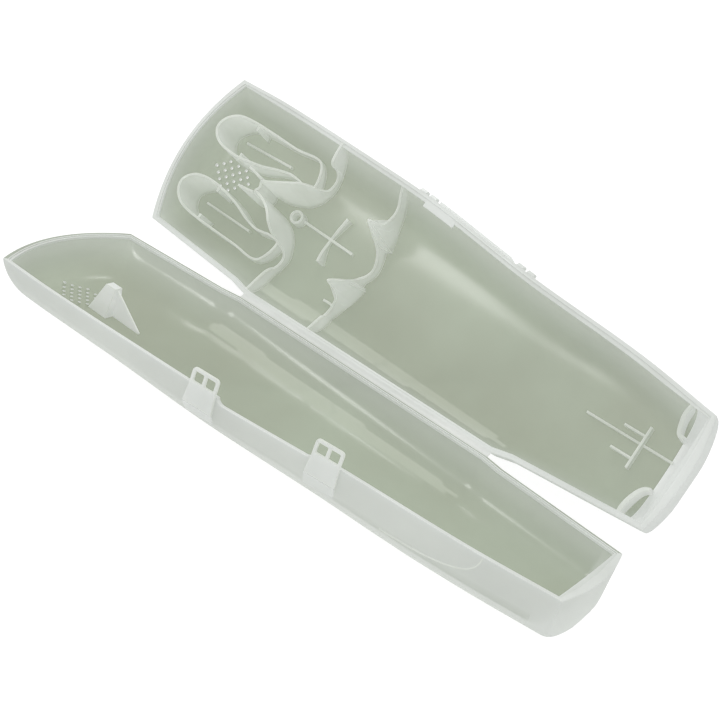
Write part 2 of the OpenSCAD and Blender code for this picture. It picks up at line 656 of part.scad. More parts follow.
module latch_loop_tail() {
  color(bright) latch_loop(latch_tail_x);
}

// The thickened root on the lid wall that each strap grows from, a ramp that ends flush with the wall
module loop_root(at) {
  out = latch_gap + loop_thick;
  color(bright) in_lid() outside(at - 14, at + 14) place_latch(at)
    rotate([90, 0, 90]) linear_extrude(height = root_w, center = true)
      polygon([[-12, root_top], [out, root_top], [out, root_top - root_lip], [-root_h, root_top - root_h], [-12, root_top - root_h]]);
}
module loop_root_head() {
  loop_root(latch_head_x);
}
module loop_root_tail() {
  loop_root(latch_tail_x);
}

base_shell();
hinge_leaf_base();
brush_cradle_front();
brush_cradle_rear();
cradle_rib_front();
cradle_rib_rear();
neck_saddle();
neck_finger_front();
neck_finger_rear();
locating_ring();
floor_cross();
handle_saddle();
saddle_gusset();
end_stop();
stop_centre_rib();
tail_pocket_front();
tail_pocket_rear();
finger_panel();
catch_head();
catch_tail();
lid_shell();
hinge_leaf_lid();
neck_hold_down();
loop_root_head();
loop_root_tail();
latch_loop_head();
latch_loop_tail();
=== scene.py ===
import math

import bmesh
import bpy
from mathutils import Matrix, Vector


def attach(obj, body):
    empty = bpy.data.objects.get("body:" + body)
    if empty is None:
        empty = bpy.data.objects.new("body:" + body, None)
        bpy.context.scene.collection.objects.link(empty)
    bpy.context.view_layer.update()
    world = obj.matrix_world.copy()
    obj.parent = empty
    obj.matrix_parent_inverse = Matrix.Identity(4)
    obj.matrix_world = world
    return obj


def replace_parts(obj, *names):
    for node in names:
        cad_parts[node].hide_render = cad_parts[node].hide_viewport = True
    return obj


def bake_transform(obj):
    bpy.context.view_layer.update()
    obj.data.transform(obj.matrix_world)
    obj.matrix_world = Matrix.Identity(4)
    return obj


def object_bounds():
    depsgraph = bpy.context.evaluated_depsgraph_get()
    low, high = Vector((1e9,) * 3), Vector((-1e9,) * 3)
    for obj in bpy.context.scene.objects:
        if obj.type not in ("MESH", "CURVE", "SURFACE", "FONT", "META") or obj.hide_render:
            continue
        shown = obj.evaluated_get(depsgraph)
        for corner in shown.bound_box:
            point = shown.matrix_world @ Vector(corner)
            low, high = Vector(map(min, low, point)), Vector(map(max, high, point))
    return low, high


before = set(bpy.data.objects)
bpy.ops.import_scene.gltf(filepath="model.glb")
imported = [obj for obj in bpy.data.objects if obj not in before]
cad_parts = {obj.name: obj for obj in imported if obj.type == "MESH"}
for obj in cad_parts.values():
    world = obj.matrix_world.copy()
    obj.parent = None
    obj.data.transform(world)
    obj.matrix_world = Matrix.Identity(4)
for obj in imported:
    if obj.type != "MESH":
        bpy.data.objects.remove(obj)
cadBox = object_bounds()
mm = 0.001
print("frame loaded:", len(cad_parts), "nodes")

# Each shell is made in its own frame, in millimetres: x along the hinge from the head end,
# y from the hinge line to the front rim, z out of the opening. Then it is stood in its place.
stance = {
    "halfOpen": math.radians(30),
    "lean": math.radians(2.29836),
    "middle": Vector((113.653, -0.0959391, -5.15725)),
}
leaned = (Matrix.Scale(mm, 4) @ Matrix.Translation(-stance["middle"])
          @ Matrix.Rotation(-stance["lean"], 4, "Y"))
tilted = Matrix.Rotation(stance["halfOpen"], 4, "X")
standing = {
    "base": leaned @ tilted,
    "lid": leaned @ Matrix.Scale(-1, 4, Vector((0, 1, 0))) @ tilted,
}


# Helpers for objects and node trees
def linked(name, data):
    piece = bpy.data.objects.new(name, data)
    bpy.context.scene.collection.objects.link(piece)
    return piece


def meshOf(name, points, faces, edges=()):
    mesh = bpy.data.meshes.new(name)
    mesh.from_pydata(points, edges, faces)
    return mesh


def emptyTree(owner):
    owner.use_nodes = True
    owner.node_tree.nodes.clear()
    return owner.node_tree


# Adds nodes to a tree: the wires say what each socket is linked or set to
def nodeMaker(tree):
    def add(kind, wires=None, **settings):
        made = tree.nodes.new(kind)
        for key, value in settings.items():
            setattr(made, key, value)
        for socket, source in (wires or {}).items():
            target = made.inputs[socket]
            if isinstance(source, bpy.types.NodeSocket):
                tree.links.new(source, target)
            else:
                target.default_value = source
        return made

    return add


def mathMaker(add):
    def calc(operation, a, b=0.0, c=0.0, limit=False):
        return add("ShaderNodeMath", {0: a, 1: b, 2: c}, operation=operation, use_clamp=limit).outputs[0]

    return calc


def mixShaders(add, share, first, second):
    return add("ShaderNodeMixShader", {0: share, 1: first.outputs[0], 2: second.outputs[0]})


# The view of the photograph
viewpoint = {
    "place": (0.19078, -0.25097, 0.42515),
    "azimuth": 37.176,
    "elevation": 52.344,
    "roll": 3.056,
    "lens": 69.99,
    "sensor": 36.0,
}


def makeCamera():
    a, e = math.radians(viewpoint["azimuth"]), math.radians(viewpoint["elevation"])
    back = Vector((math.sin(a) * math.cos(e), -math.cos(a) * math.cos(e), math.sin(e)))
    data = bpy.data.cameras.new("camera")
    data.lens = viewpoint["lens"]
    data.sensor_width = viewpoint["sensor"]
    camera = linked("camera", data)
    roll = Matrix.Rotation(math.radians(viewpoint["roll"]), 3, "Z")
    turn = (-back).to_track_quat("-Z", "Y").to_matrix() @ roll
    camera.matrix_world = Matrix.Translation(viewpoint["place"]) @ turn.to_4x4()
    bpy.context.scene.camera = camera


makeCamera()
print("camera set")


# Materials
def linear(value):
    value /= 255
    return value / 12.92 if value <= 0.04045 else ((value + 0.055) / 1.055) ** 2.4


def tint(r, g, b):
    return (linear(r), linear(g), linear(b), 1.0)


finishes = {
    "polishedInside": {  # the glossy, greenish inner face of the shells, whiter up its walls by painted light
        "light": tint(187, 197, 177), "dark": tint(173, 179, 158), "patches": 16.0,
        "roughness": 0.17, "glow": 0.5, "clear": 0.5, "edge": 0.2, "grain": 0.02,
        "paintedRimLight": tint(240, 243, 238), "through": tint(208, 214, 200),
    },
    "frostedOutside": {  # the matt, whiter outer face, clearer under the floor
        "light": tint(240, 243, 240), "dark": tint(231, 234, 231), "patches": 22.0,
        "roughness": 0.45, "glow": 0.45, "clear": 0.1, "grain": 0.06,
        "clearFloor": 0.55, "through": tint(250, 251, 250),
    },
    # the rim, ledges and catches, painted light as a highlight along the rim
    "brightRim": {
        "light": tint(240, 243, 240), "dark": tint(232, 235, 231), "patches": 30.0,
        "roughness": 0.3, "glow": 0.4, "clear": 0.0, "grain": 0.03,
    },
    "thinWall": {  # the walls that stand inside, milky but see-through
        "light": tint(248, 251, 247), "dark": tint(240, 244, 238), "patches": 60.0,
        "roughness": 0.25, "glow": 0.55, "clear": 0.66, "edge": 0.5, "grain": 0.03,
    },
    "wallEdge": {  # a painted highlight where a wall catches the light: its top and its foot, and on the edges of other pieces
        "light": tint(246, 249, 244), "dark": tint(238, 242, 235), "patches": 60.0,
        "roughness": 0.25, "glow": 0.5, "clear": 0.12, "edge": 0.5, "grain": 0.02,
    },
    "hingeStrip": {
        "light": tint(244, 246, 243), "dark": tint(234, 237, 233), "patches": 40.0,
        "roughness": 0.35, "glow": 0.5, "clear": 0.0, "grain": 0.03,
    },
    "latchPlastic": {
        "light": tint(249, 251, 249), "dark": tint(242, 245, 242), "patches": 50.0,
        "roughness": 0.35, "glow": 0.45, "clear": 0.25, "edge": 0.5, "grain": 0.03,
    },
    "thickRib": {  # thicker pieces inside, milky white; on the base its inner tail end too, as a painted highlight
        "light": tint(253, 254, 253), "dark": tint(245, 248, 245), "patches": 60.0,
        "roughness": 0.3, "glow": 0.4, "clear": 0.12, "edge": 0.5, "grain": 0.03,
    },
    "ventWall": {  # the walls of the vent holes, which light shines through, with more painted glow than the rest
        "light": tint(243, 246, 242), "dark": tint(236, 240, 235), "patches": 60.0,
        "roughness": 0.3, "glow": 0.4, "clear": 0.0, "grain": 0.02, "paintedGlow": 0.6,
    },
    "shadedLip": {  # the flat lip along the hinge side of the lid, painted darker as shade
        "light": tint(196, 204, 190), "dark": tint(184, 190, 176), "patches": 40.0,
        "roughness": 0.3, "glow": 0.5, "clear": 0.0, "grain": 0.03,
    },
}
# What all plastics share: where the patches are dark and light, how fine their grain is, how far
# their roughness strays, how they bend light, and from where to where up a wall a shell turns whiter with painted
# light and its outer face less clear
texture = {
    "stops": (0.36, 0.66), "detail": 3, "grainSize": 900, "grainDetail": 2, "grainDepth": 0.0004,
    "roughSpan": (0.8, 1.25), "refraction": 1.49, "facing": 0.35, "turnFrom": 0.1, "clearTo": 0.5,
}
# A painted glow: each plastic gives off light of its own colour, though it is no lamp, which softens the shade in
# the corners
paintedGlowMix = {"share": 0.3, "level": 0.72}


def makePlastic(name):
    look = finishes[name]
    material = bpy.data.materials.new(name)
    add = nodeMaker(emptyTree(material))

    def upTheWall():
        return add("ShaderNodeAttribute", attribute_name="nearRim").outputs["Fac"]

    place = add("ShaderNodeTexCoord").outputs["Object"]
    patches = add("ShaderNodeTexNoise", {
        "Scale": look["patches"], "Detail": texture["detail"], "Vector": place}).outputs["Fac"]
    ramp = add("ShaderNodeValToRGB", {"Fac": patches})
    for stop, position, shade in zip(ramp.color_ramp.elements, texture["stops"], ("dark", "light")):
        stop.position = position
        stop.color = look[shade]
    colour = ramp.outputs["Color"]
    # Painted light: up the walls the colour turns to the lighter rim tint
    if "paintedRimLight" in look:
        rise = add("ShaderNodeMapRange", {"Value": upTheWall(), "From Min": texture["turnFrom"]},
                   interpolation_type="SMOOTHSTEP").outputs["Result"]
        turned = add("ShaderNodeMix", {0: rise, 6: colour, 7: look["paintedRimLight"]}, data_type="RGBA")
        colour = turned.outputs[2]
    grain = add("ShaderNodeTexNoise", {
        "Scale": texture["grainSize"], "Detail": texture["grainDetail"], "Vector": place})
    bump = add("ShaderNodeBump", {
        "Strength": look["grain"], "Distance": texture["grainDepth"], "Height": grain.outputs["Fac"]})
    smoothest, roughest = [look["roughness"] * part for part in texture["roughSpan"]]
    rough = add("ShaderNodeMapRange", {"Value": patches, "To Min": smoothest, "To Max": roughest})
    plastic = add("ShaderNodeBsdfPrincipled", {
        "IOR": texture["refraction"], "Base Color": colour, "Roughness": rough.outputs["Result"],
        "Normal": bump.outputs["Normal"]})
    glow = add("ShaderNodeBsdfTranslucent", {"Color": colour})
    # The painted glow: an emission in the plastic's own colour
    paintedGlow = add("ShaderNodeEmission", {"Color": colour, "Strength": paintedGlowMix["level"]})
    body = mixShaders(add, look["glow"], plastic, glow)
    body = mixShaders(add, look.get("paintedGlow", paintedGlowMix["share"]), body, paintedGlow)
    if "clearFloor" in look:
        share = add("ShaderNodeMapRange", {
            "Value": upTheWall(), "From Min": texture["turnFrom"], "From Max": texture["clearTo"],
            "To Min": look["clearFloor"], "To Max": look["clear"]})
    elif look["clear"] > 0:
        facing = add("ShaderNodeLayerWeight", {"Blend": texture["facing"]})
        share = add("ShaderNodeMapRange", {
            "Value": facing.outputs["Facing"], "To Min": look["clear"],
            "To Max": look["clear"] * (1 - look["edge"])})
    if look["clear"] > 0:
        through = add("ShaderNodeBsdfTransparent", {"Color": look.get("through", (1, 1, 1, 1))})
        body = mixShaders(add, share.outputs["Result"], body, through)
    add("ShaderNodeOutputMaterial", {"Surface": body.outputs[0]})
    return material


plastics = {name: makePlastic(name) for name in finishes}
print("plastics mixed:", len(plastics))


# The studio: a white floor that keeps a faint shadow, a white sky and soft lamps
studio = {
    "floorSize": 8.0,
    "floorGlow": 0.86,
    "floorShade": 0.24,
    "floorBounce": 0.92,
    "skyStrength": 0.95,
}
softbox = {"power": 2.5, "size": (0.5, 0.5), "place": (-0.25, 0.35, 0.9), "aim": (0.0, 0.0, 0.0)}
glints = [  # lamps that only the gloss of the plastic shows
    {"power": 2.8, "size": (0.16, 0.17), "place": (-0.3, -0.39, 0.57), "aim": (0.0, 0.05, 0.018)},
    {"power": 1.3, "size": (0.24, 0.08), "place": (-0.3, 0.56, 0.41), "aim": (0.0, -0.02, 0.0)},
]


# 1 for rays from the camera, off a gloss or through a clear piece, else 0
def seenDirectly(add):
    calc = mathMaker(add)
    path = add("ShaderNodeLightPath").outputs
    seen = calc("MAXIMUM", path["Is Camera Ray"], path["Is Glossy Ray"])
    return calc("MAXIMUM", seen, path["Is Transmission Ray"])


def makeSky():
    world = bpy.data.worlds.new("studioSky")
    bpy.context.scene.world = world
    add = nodeMaker(emptyTree(world))
    white = (1, 1, 1, 1)
    lit = add("ShaderNodeBackground", {"Color": white, "Strength": studio["skyStrength"]})
    seen = add("ShaderNodeBackground", {"Color": white, "Strength": 1.0})
    mix = mixShaders(add, seenDirectly(add), lit, seen)
    add("ShaderNodeOutputWorld", {"Surface": mix.outputs[0]})


def makeFloor():
    material = bpy.data.materials.new("studioFloor")
    add = nodeMaker(emptyTree(material))
    bounce = add("ShaderNodeBsdfDiffuse", {"Color": (studio["floorBounce"],) * 3 + (1,)})
    shade = add("ShaderNodeBsdfDiffuse", {"Color": (studio["floorShade"],) * 3 + (1,)})
    glow = add("ShaderNodeEmission", {"Strength": studio["floorGlow"]})
    both = add("ShaderNodeAddShader", {0: shade.outputs[0], 1: glow.outputs[0]})
    mix = mixShaders(add, seenDirectly(add), bounce, both)
    add("ShaderNodeOutputMaterial", {"Surface": mix.outputs[0]})
    half = studio["floorSize"] / 2
    corners = [(x * half, y * half, 0) for x, y in ((-1, -1), (1, -1), (1, 1), (-1, 1))]
    mesh = meshOf("studioFloor", corners, [(0, 1, 2, 3)])
    mesh.materials.append(material)
    linked("studioFloor", mesh)


def makeLamp(name, given):
    lamp = bpy.data.lights.new(name, "AREA")
    lamp.energy = given["power"]
    lamp.shape = "RECTANGLE"
    lamp.size, lamp.size_y = given["size"]
    light = linked(name, lamp)
    light.location = given["place"]
    light.rotation_mode = "QUATERNION"
    light.rotation_quaternion = (Vector(given["aim"]) - Vector(given["place"])).to_track_quat("-Z", "Y")
    return light


makeSky()
makeFloor()
makeLamp("softbox", softbox).visible_glossy = False
for given in glints:
    glint = makeLamp("glint", given)
    glint.visible_diffuse = False
    glint.visible_transmission = False
bpy.context.scene.view_settings.view_transform = "Standard"
print("studio lit")


# Shells
shell = {
    "length": 233.3,
    "headBulge": 7.4,
    "tailBulge": 3.0,
    "tailThicken": 1.3,  # how much less the tail bulges for each millimetre of inset
    "headRound": 13.0,
    "tailRound": 7.0,
    "outerTailRound": 3.2,
    "headPower": 2.6,
    "tailPower": 2.4,
    "wall": 1.4,
    "rim": -0.1,
    "bevel": 0.28,
    "bevelBend": 0.3,
    "across": 72,
    "endRows": 12,
    "rowStep": 2.2,
    "fineStep": 0.4,
}
web = {
    "start": 54.8, "end": 173.8, "reach": 1.1, "notchReach": 2.9, "notchRun": 8.0,
    "cornerReach": 6.8, "thick": 0.5,
}
notch = {"start": 102.0, "end": 140.5, "run": 3.0, "depth": 2.1, "band": 3.0}
frontLine = [(0, 74.4), (0.1, 74.5), (0.29, 72.3), (0.43, 70), (0.643, 63.3), (0.857, 58.65), (1, 53.4)]
depthLine = [(0, 17.4), (0.21, 18), (0.38, 19), (0.6, 20), (0.73, 20.5), (0.86, 19.6), (1, 18.7)]
squareLine = [(0, 2.5), (0.21, 2.65), (0.38, 3), (0.6, 3.6), (0.73, 4), (1, 5)]
hingeLine = [(0, web["cornerReach"]), (web["start"] - web["notchRun"], web["notchReach"]),
             (web["start"], web["reach"]), (web["end"], web["reach"]),
             (web["end"] + web["notchRun"], web["notchReach"]), (shell["length"], web["cornerReach"])]


def slopeAt(points, i):
    a, b = max(i - 1, 0), min(i + 1, len(points) - 1)
    return (points[b][1] - points[a][1]) / (points[b][0] - points[a][0])


def smoothLine(x, points):
    i = max([k for k in range(len(points) - 1) if points[k][0] <= x], default=0)
    (x0, y0), (x1, y1) = points[i], points[i + 1]
    width = x1 - x0
    q = min(max((x - x0) / width, 0), 1)
    bend = slopeAt(points, i) * (1 - q) - slopeAt(points, i + 1) * q
    return y0 * (1 + 2 * q) * (1 - q) ** 2 + y1 * q * q * (3 - 2 * q) + bend * width * q * (1 - q)


def straightLine(x, points):
    for (x0, y0), (x1, y1) in zip(points, points[1:]):
        if x <= x1:
            return y0 + (y1 - y0) * max(x - x0, 0) / (x1 - x0)
    return points[-1][1]


def frontEdge(x):
    return smoothLine(x / shell["length"], frontLine)


def hingeEdge(x):
    return straightLine(x, hingeLine)


def depthAt(x):
    return smoothLine(x / shell["length"], depthLine)


def squareness(x):
    return smoothLine(x / shell["length"], squareLine)


def rounded(angle, power):
    c, s = abs(math.cos(angle)), abs(math.sin(angle))
    r = (c ** power + s ** power) ** (-1 / power)
    return math.copysign(r * c, math.cos(angle)), r * s


# The outer tail end falls straight and is rounded only into the bottom
def boxedEnd(e):
    r = shell["outerTailRound"]
    return 1 if e >= r else 1 - (r - math.sqrt(r * r - (r - e) ** 2)) / depthAt(shell["length"])


def shellRows():
    quarter = [math.pi / 2 * k / shell["endRows"] for k in range(shell["endRows"])]
    head = [rounded(a, shell["headPower"]) for a in quarter]
    tail = [rounded(a, shell["tailPower"]) for a in quarter]
    first, last = shell["headRound"], shell["length"] - shell["tailRound"]
    fine = [(notch["start"] - shell["fineStep"], notch["start"] + notch["run"]),
            (notch["end"] - notch["run"], notch["end"] + shell["fineStep"])]
    stops = sorted([first] + [x for x, y in hingeLine[1:-1]] + [x for ends in fine for x in ends] + [last])
    middle = []
    for a, b in zip(stops, stops[1:]):
        step = shell["fineStep"] if (a, b) in fine else shell["rowStep"]
        count = max(1, round((b - a) / step))
        middle += [(a + (b - a) * k / count, 1) for k in range(count)]
    rows = [(first * (1 - c), s if k else 0) for k, (c, s) in enumerate(head)]
    rows += middle + [(last, 1)]
    rows += [(shell["length"] - shell["tailRound"] * (1 - c), s if k else 0)
             for k, (c, s) in enumerate(tail)][::-1]
    return rows


def acrossAngles():
    return [math.pi * (1 - k / shell["across"]) for k in range(shell["across"] + 1)]


def bodyPoint(along, factor, angle, inset):
    low, high = hingeEdge(along) + inset, frontEdge(along) - inset
    u, side = rounded(angle, squareness(along))
    if angle in (0, math.pi):
        side = 0
    start = inset - shell["headBulge"] * (1 - u * u)
    end = shell["length"] - inset + (shell["tailBulge"] - shell["tailThicken"] * inset) * (1 - u * u)
    return Vector((start + (end - start) * along / shell["length"],
                   (low + high) / 2 + u * (high - low) / 2,
                   shell["rim"] - (depthAt(along) - inset) * side * factor))


def rimHeight(point, notched):
    into = min(point.x - notch["start"], notch["end"] - point.x) / notch["run"]
    if not notched or into <= 0 or point.y < frontEdge(point.x) - notch["band"]:
        return shell["rim"]
    return shell["rim"] - notch["depth"] * math.sqrt(1 - (1 - min(into, 1)) ** 2)


# Steps round the rim: along the hinge, round the tail, back along the front and round the head
def rimBorder(n, m):
    return ([(i, 0) for i in range(n)] + [(n - 1, j) for j in range(1, m)]
            + [(i, m - 1) for i in range(n - 2, -1, -1)] + [(0, j) for j in range(m - 2, 0, -1)])


shellFinishes = ["frostedOutside", "polishedInside", "brightRim", "shadedLip", "thickRib"]


def shellMesh(name, notched):
    rows, angles = shellRows(), acrossAngles()
    m, n = len(angles), len(rows)
    border = rimBorder(n, m)
    mesh = bmesh.new()
    bevel, wall = shell["bevel"], shell["wall"]
    bend = bevel * shell["bevelBend"]
    paintedTailFrom = shell["length"] - shell["tailRound"]

    def grid(inset):
        verts = []
        for along, factor in rows:
            if inset == 0 and factor > 0 and along > shell["length"] / 2:
                factor = boxedEnd(shell["length"] - along)
            for angle in angles:
                p = bodyPoint(along, factor, angle, inset)
                p.z = min(p.z, rimHeight(p, notched) - bevel)
                verts.append(mesh.verts.new(p))
        return verts

    def rimLoop(inset, drop):
        verts = []
        for i, j in border:
            p = bodyPoint(rows[i][0], 0, angles[j], inset)
            p.z = rimHeight(p, notched) - drop
            verts.append(mesh.verts.new(p))
        return verts

    outer, inner = grid(0), grid(wall)
    for verts, turned, finish in ((outer, False, "frostedOutside"), (inner, True, "polishedInside")):
        for i in range(n - 1):
            # On the base the inner faces of the tail end take the milky finish, a painted highlight
            paintedTail = turned and not notched and rows[i][0] >= paintedTailFrom
            for j in range(m - 1):
                a, b = i * m + j, (i + 1) * m + j
                corners = [verts[a], verts[b], verts[b + 1], verts[a + 1]]
                face = mesh.faces.new(corners[::-1] if turned else corners)
                face.material_index = shellFinishes.index("thickRib" if paintedTail else finish)
    loops = [[outer[i * m + j] for i, j in border]]
    for inset, drop in ((bend, bend), (bevel, 0), (wall - bevel, 0), (wall - bend, bend)):
        loops.append(rimLoop(inset, drop))
    loops.append([inner[i * m + j] for i, j in border])
    for step, (a, b) in enumerate(zip(loops, loops[1:])):
        for k in range(len(border)):
            q = (k + 1) % len(border)
            face = mesh.faces.new([a[k], b[k], b[q], a[q]])
            atTail = n - 2 < k < n + m - 2
            atFront = n + m - 3 < k < 2 * n + m - 3
            # The rim is painted light, and painted shade on the flat lip along the hinge side and head of the lid
            shaded = notched and not (atFront or atTail) and step < 3
            face.material_index = shellFinishes.index("shadedLip" if shaded else "brightRim")
    made = bpy.data.meshes.new(name)
    mesh.to_mesh(made)
    mesh.free()
    return made


def bakeDown(piece):
    graph = bpy.context.evaluated_depsgraph_get()
    mesh = bpy.data.meshes.new_from_object(piece.evaluated_get(graph))
    old = piece.data
    piece.modifiers.clear()
    piece.data = mesh
    mesh.name = piece.name
    bpy.data.meshes.remove(old)


def standUp(piece, side):
    mesh = piece.data
    mesh.transform(standing[side])
    if side == "lid":
        mesh.flip_normals()
    low, high = cadBox
    for v in mesh.vertices:
        for axis in range(3):
            v.co[axis] = min(max(v.co[axis], low[axis]), high[axis])
    mesh.update()


def smoothShade(piece, angle=40):
    mesh = piece.data
    mesh.polygons.foreach_set("use_smooth", [True] * len(mesh.polygons))
    mesh.set_sharp_from_angle(angle=math.radians(angle))
    weighted = piece.modifiers.new("evenShade", "WEIGHTED_NORMAL")
    weighted.keep_sharp = True


# Geometry Nodes helpers
def nodeTree(name, sockets):
    tree = bpy.data.node_groups.new(name, "GeometryNodeTree")
    tree.is_modifier = True
    for label, kind in sockets:
        tree.interface.new_socket(name=label, in_out="INPUT", socket_type="NodeSocket" + kind)
    tree.interface.new_socket(name="Geometry", in_out="OUTPUT", socket_type="NodeSocketGeometry")
    return tree, tree.nodes.new("NodeGroupInput").outputs, tree.nodes.new("NodeGroupOutput")


def withFinish(add, geometry, finish, selection=True):
    return add("GeometryNodeSetMaterial", {
        "Geometry": geometry, "Selection": selection, "Material": finish}).outputs[0]


def setInputs(modifier, values):
    for item in modifier.node_group.interface.items_tree:
        if item.item_type == "SOCKET" and item.in_out == "INPUT" and item.name in values:
            modifier[item.identifier] = values[item.name]


vents = {
    "pitch": 2.15, "diameter": 1.3, "columns": 4, "rows": 3, "reach": 1.4, "middleX": 10.5, "middleY": 40.4,
    "length": 40.0, "level": -12.0,
}


# Every other place of a grid, with its corners left out, gets a pin
def ventPinTree():
    tree, given, out = nodeTree("ventPins", [
        ("Geometry", "Geometry"), ("Pitch", "Float"), ("Diameter", "Float"), ("Columns", "Int"),
        ("Rows", "Int"), ("Reach", "Float"), ("Length", "Float"), ("Finish", "Material")])
    add = nodeMaker(tree)
    calc = mathMaker(add)
    columns, rows, pitch = given["Columns"], given["Rows"], given["Pitch"]
    grid = add("GeometryNodeMeshGrid", {
        "Size X": calc("MULTIPLY", calc("MULTIPLY", columns, 2.0), pitch),
        "Size Y": calc("MULTIPLY", calc("MULTIPLY", rows, 2.0), pitch),
        "Vertices X": calc("MULTIPLY_ADD", columns, 2.0, 1.0),
        "Vertices Y": calc("MULTIPLY_ADD", rows, 2.0, 1.0)})
    position = add("GeometryNodeInputPosition").outputs[0]
    place = add("ShaderNodeSeparateXYZ", {0: position}).outputs
    column = calc("ROUND", calc("DIVIDE", place["X"], pitch))
    row = calc("ROUND", calc("DIVIDE", place["Y"], pitch))
    odd = calc("ABSOLUTE", calc("MODULO", calc("ADD", column, row), 2.0))
    spread = calc("ADD", calc("DIVIDE", calc("ABSOLUTE", column), columns),
                  calc("DIVIDE", calc("ABSOLUTE", row), rows))
    chosen = calc("MULTIPLY", calc("LESS_THAN", odd, 0.5), calc("LESS_THAN", spread, given["Reach"]))
    pin = add("GeometryNodeMeshCylinder", {
        "Vertices": 16, "Radius": calc("MULTIPLY", given["Diameter"], 0.5), "Depth": given["Length"]})
    pins = add("GeometryNodeInstanceOnPoints", {
        "Points": grid.outputs["Mesh"], "Selection": chosen, "Instance": pin.outputs["Mesh"]})
    real = add("GeometryNodeRealizeInstances", {0: pins.outputs[0]})
    tree.links.new(withFinish(add, real.outputs[0], given["Finish"]), out.inputs[0])
    return tree


def makeVentPins():
    piece = linked("ventPins", bpy.data.meshes.new("ventPins"))
    modifier = piece.modifiers.new("pins", "NODES")
    modifier.node_group = ventPinTree()
    setInputs(modifier, {
        "Pitch": vents["pitch"], "Diameter": vents["diameter"], "Columns": vents["columns"],
        "Rows": vents["rows"], "Reach": vents["reach"], "Length": vents["length"],
        "Finish": plastics["ventWall"]})
    bakeDown(piece)
    piece.data.transform(Matrix.Translation((vents["middleX"], vents["middleY"], vents["level"])))
    return piece


# How far along its long walls the base is painted whiter, and where the tail is painted white, as painted light
paintedLightReach = {"front": 15.0, "hinge": 12.0, "hingeTop": 0.8, "tailLead": 0.6, "tailRun": 1.6}


# How far up its wall each point stands, with the rounding of the tail end counted as high and, on the base, the
# strips along its long walls too. The inner finish paints light by this share
def markRimShareAndLight(mesh, side):
    near = mesh.attributes.new("nearRim", "FLOAT", "POINT")
    tailStart = shell["length"] - shell["tailRound"] - paintedLightReach["tailLead"]
    values = []
    for v in mesh.vertices:
        x, y, z = v.co
        share = max(1 + (z - shell["rim"]) / depthAt(x), min((x - tailStart) / paintedLightReach["tailRun"], 1))
        # Painted light along the long walls of the base
        if side == "base":
            share = max(share, 1 - (frontEdge(x) - y) / paintedLightReach["front"],
                        paintedLightReach["hingeTop"] - (y - hingeEdge(x)) / paintedLightReach["hinge"])
        values.append(share)
    near.data.foreach_set("value", values)


def makeShells():
    pins = makeVentPins()
    for side in ("base", "lid"):
        piece = linked(side + "Shell", shellMesh(side + "Shell", side == "lid"))
        for finish in shellFinishes:
            piece.data.materials.append(plastics[finish])
        cut = piece.modifiers.new("vents", "BOOLEAN")
        cut.object = pins
        cut.operation = "DIFFERENCE"
        cut.solver = "EXACT"
        cut.material_mode = "TRANSFER"
        bakeDown(piece)
        markRimShareAndLight(piece.data, side)
        standUp(piece, side)
        smoothShade(piece)
        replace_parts(piece, side + "_shell")
        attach(piece, side)
        print(piece.name, len(piece.data.polygons), "faces")
    bpy.data.objects.remove(pins)


makeShells()


# Inner walls
def innerFloor():
    rows, angles = shellRows(), acrossAngles()
    m = len(angles)
    points = [bodyPoint(along, factor, angle, shell["wall"]) for along, factor in rows for angle in angles]
    faces = [(i * m + j, (i + 1) * m + j, (i + 1) * m + j + 1, i * m + j + 1)
             for i in range(len(rows) - 1) for j in range(m - 1)]
    return linked("innerFloor", meshOf("innerFloor", points, faces))


def floorAt(x, y):
    low, high = hingeEdge(x) + shell["wall"], frontEdge(x) - shell["wall"]
    u = min(abs(y - (low + high) / 2) / ((high - low) / 2), 1)
    power = squareness(x)
    return shell["rim"] - (depthAt(x) - shell["wall"]) * (1 - u ** power) ** (1 / power)


# The level of something that rises this far over the lowest line of the floor
def overFloor(x, rise):
    return rise - depthAt(x) + shell["wall"]


floorGuide = innerFloor()
inner = {
    "thick": 0.95, "round": 0.28, "soften": 0.3, "spacing": 0.5, "foot": 0.25, "topBand": 0.45,
    "footBand": 0.5, "rayLength": 60.0, "highlightFrom": 0.55,
}
